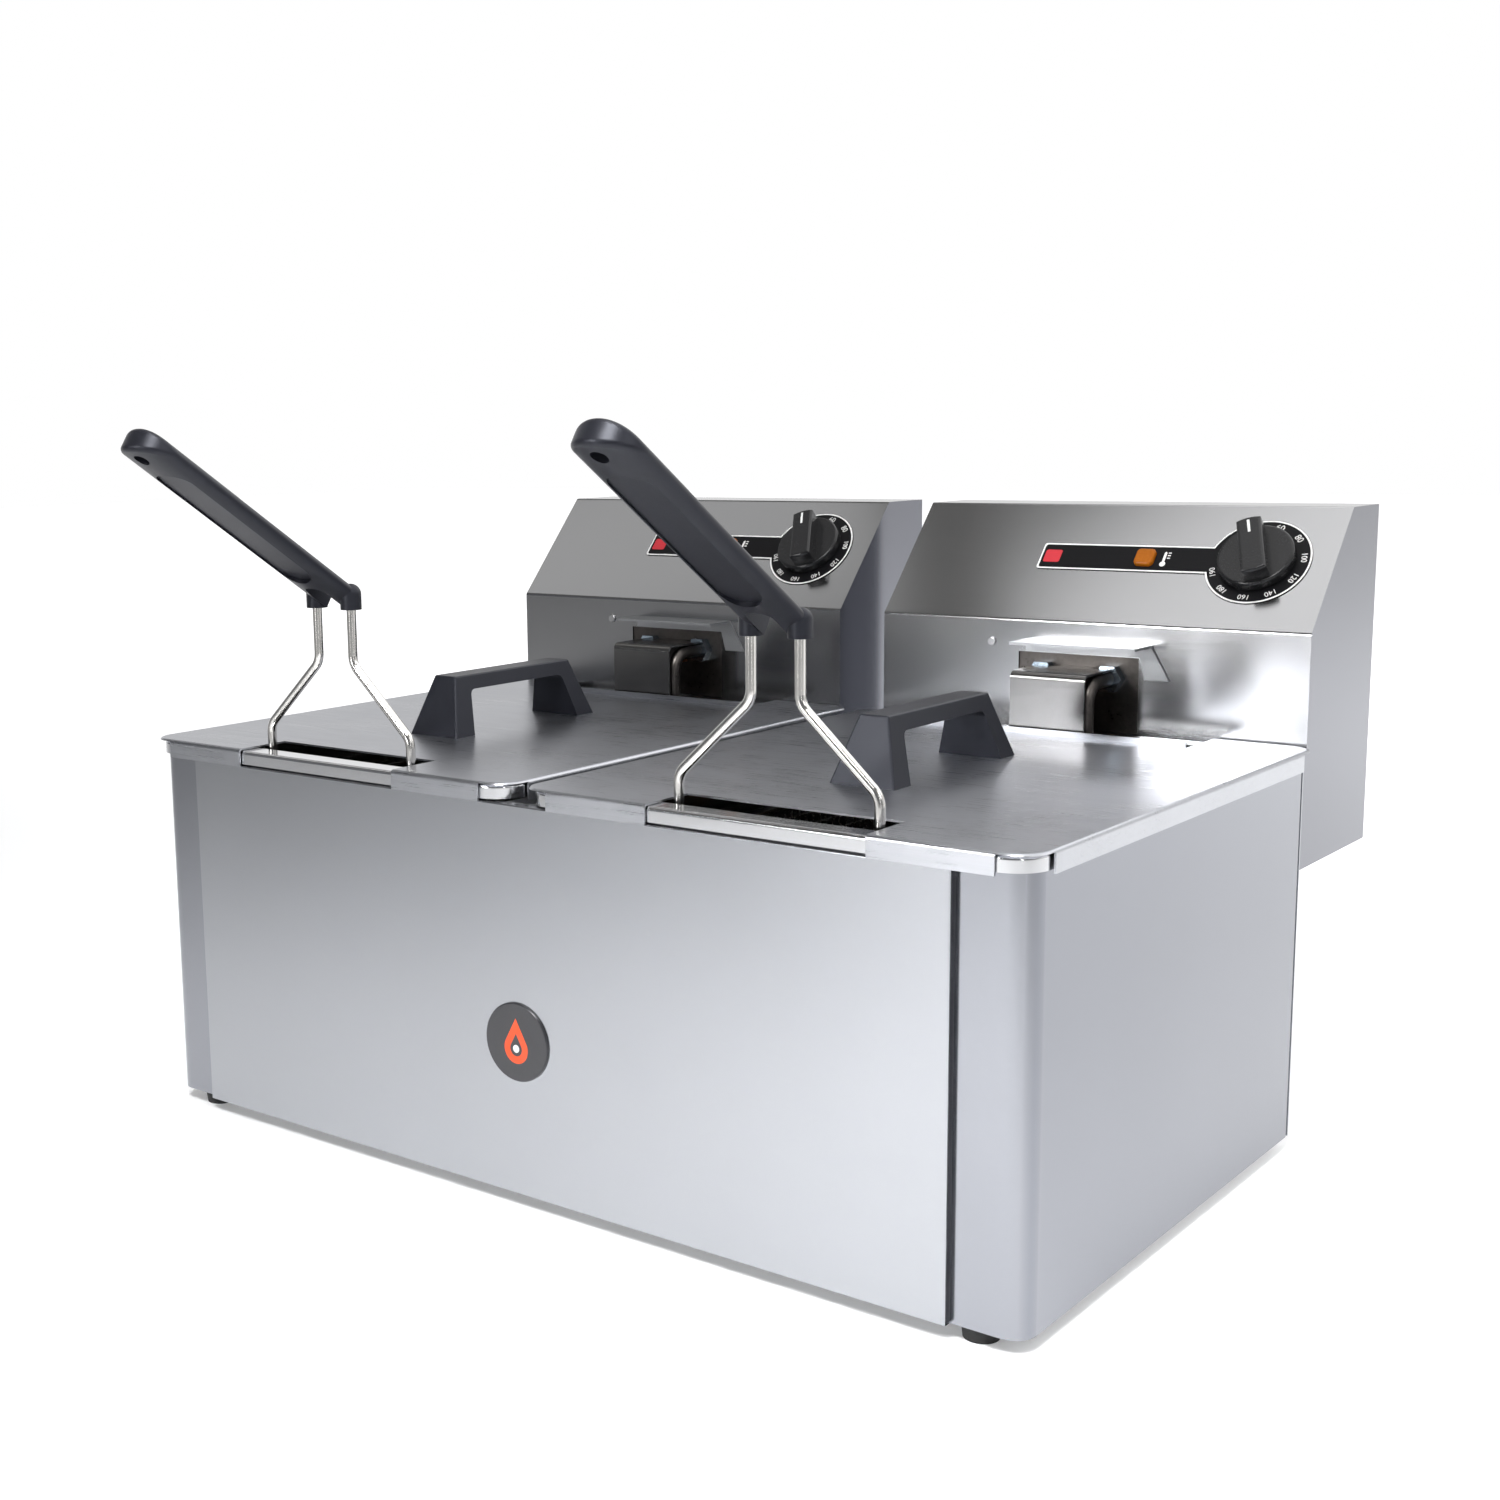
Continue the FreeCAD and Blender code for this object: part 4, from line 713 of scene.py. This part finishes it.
world = bpy.data.worlds.new("studio")
bpy.context.scene.world = world
world.use_nodes = True
sky = world.node_tree
backdrop = next(n for n in sky.nodes if n.type == "BACKGROUND")
direction = sky.nodes.new("ShaderNodeTexCoord")
split = sky.nodes.new("ShaderNodeSeparateXYZ")
sky.links.new(direction.outputs["Generated"], split.inputs["Vector"])
to_back = remap(sky, split.outputs["Y"], *BACK_SKY_RANGE, 0.0, 1.0)
to_top = remap(sky, split.outputs["Z"], *TOP_SKY_RANGE, 0.0, 1.0)
around = colour_mix(sky, FRONT_SKY, BACK_SKY, to_back)
sky.links.new(colour_mix(sky, around, TOP_SKY, to_top), backdrop.inputs["Color"])
backdrop.inputs["Strength"].default_value = 1.0


# Light: softboxes, each with its place, what it is aimed at, its width and height in metres,
# its power in watts and its spread in degrees

SOFTBOXES = (
    ("top_light", (0.7, 1.2, 2.5), (0, 0, 0.1), 3.6, 3.6, 66, 180),
    ("front_light", (-0.36, -1.55, 0.37), (0.15, 0.1, 0.25), 0.45, 0.3, 2.1, 150),
    ("face_light", (-0.56, -1.58, 0.90), (0.20, 0.135, 0.30), 0.4, 0.3, 0.38, 24),
    ("right_light", (2.2, -0.5, 1.6), (0.4, -0.2, 0.0), 1.2, 1.2, 7, 150),
    ("floor_light", (0.32, -0.92, 1.5), (0.22, -0.52, 0.0), 0.6, 0.6, 7.9, 75),
    ("slope_light", (-0.30, -0.12, 2.3), (0.2, 0.2, 0.3), 0.5, 1.2, 3.0, 180),
    ("left_slope_light", (-1.5, -0.1, 1.85), (-0.22, 0.2, 0.3), 0.5, 1.0, 1.1, 180),
    ("corner_light", (1.75, -1.45, 0.55), (0.27, -0.2, 0.12), 0.12, 1.1, 2.0, 180),
)

for name, place, target, width, height, power, spread in SOFTBOXES:
    lamp = bpy.data.lights.new(name, "AREA")
    lamp.shape = "RECTANGLE"
    lamp.size = width
    lamp.size_y = height
    lamp.energy = power
    lamp.spread = math.radians(spread)
    holder = bpy.data.objects.new(name, lamp)
    bpy.context.scene.collection.objects.link(holder)
    aim = (Vector(target) - Vector(place)).to_track_quat("-Z", "Y")
    holder.matrix_world = Matrix.Translation(place) @ aim.to_matrix().to_4x4()


# Camera at the photograph's viewing angle: turns in radians, lens in millimetres

AZIMUTH = 0.692229
ELEVATION = 0.164909
ROLL = -0.0179687
EYE = (0.61408, -0.840496, 0.38358)
SENSOR_WIDTH = 36.0
FOCAL_LENGTH = 46.474
SHIFT_X = 0.110
SHIFT_Y = 0.00167
CLIP_END = 60.0
ahead = Vector((-math.sin(AZIMUTH) * math.cos(ELEVATION),
                math.cos(AZIMUTH) * math.cos(ELEVATION), -math.sin(ELEVATION)))
level_right = Vector((math.cos(AZIMUTH), math.sin(AZIMUTH), 0))
level_up = level_right.cross(ahead)
camera_right = math.cos(ROLL) * level_right + math.sin(ROLL) * level_up
camera_up = -math.sin(ROLL) * level_right + math.cos(ROLL) * level_up
lens = bpy.data.cameras.new("camera")
lens.sensor_width = SENSOR_WIDTH
lens.lens = FOCAL_LENGTH
lens.shift_x = SHIFT_X
lens.shift_y = SHIFT_Y
lens.clip_end = CLIP_END
camera = bpy.data.objects.new("camera", lens)
bpy.context.scene.collection.objects.link(camera)
camera.matrix_world = (Matrix.Translation(EYE)
                       @ Matrix((camera_right, camera_up, -ahead)).transposed().to_4x4())
bpy.context.scene.camera = camera
bpy.context.scene.view_settings.view_transform = "Standard"
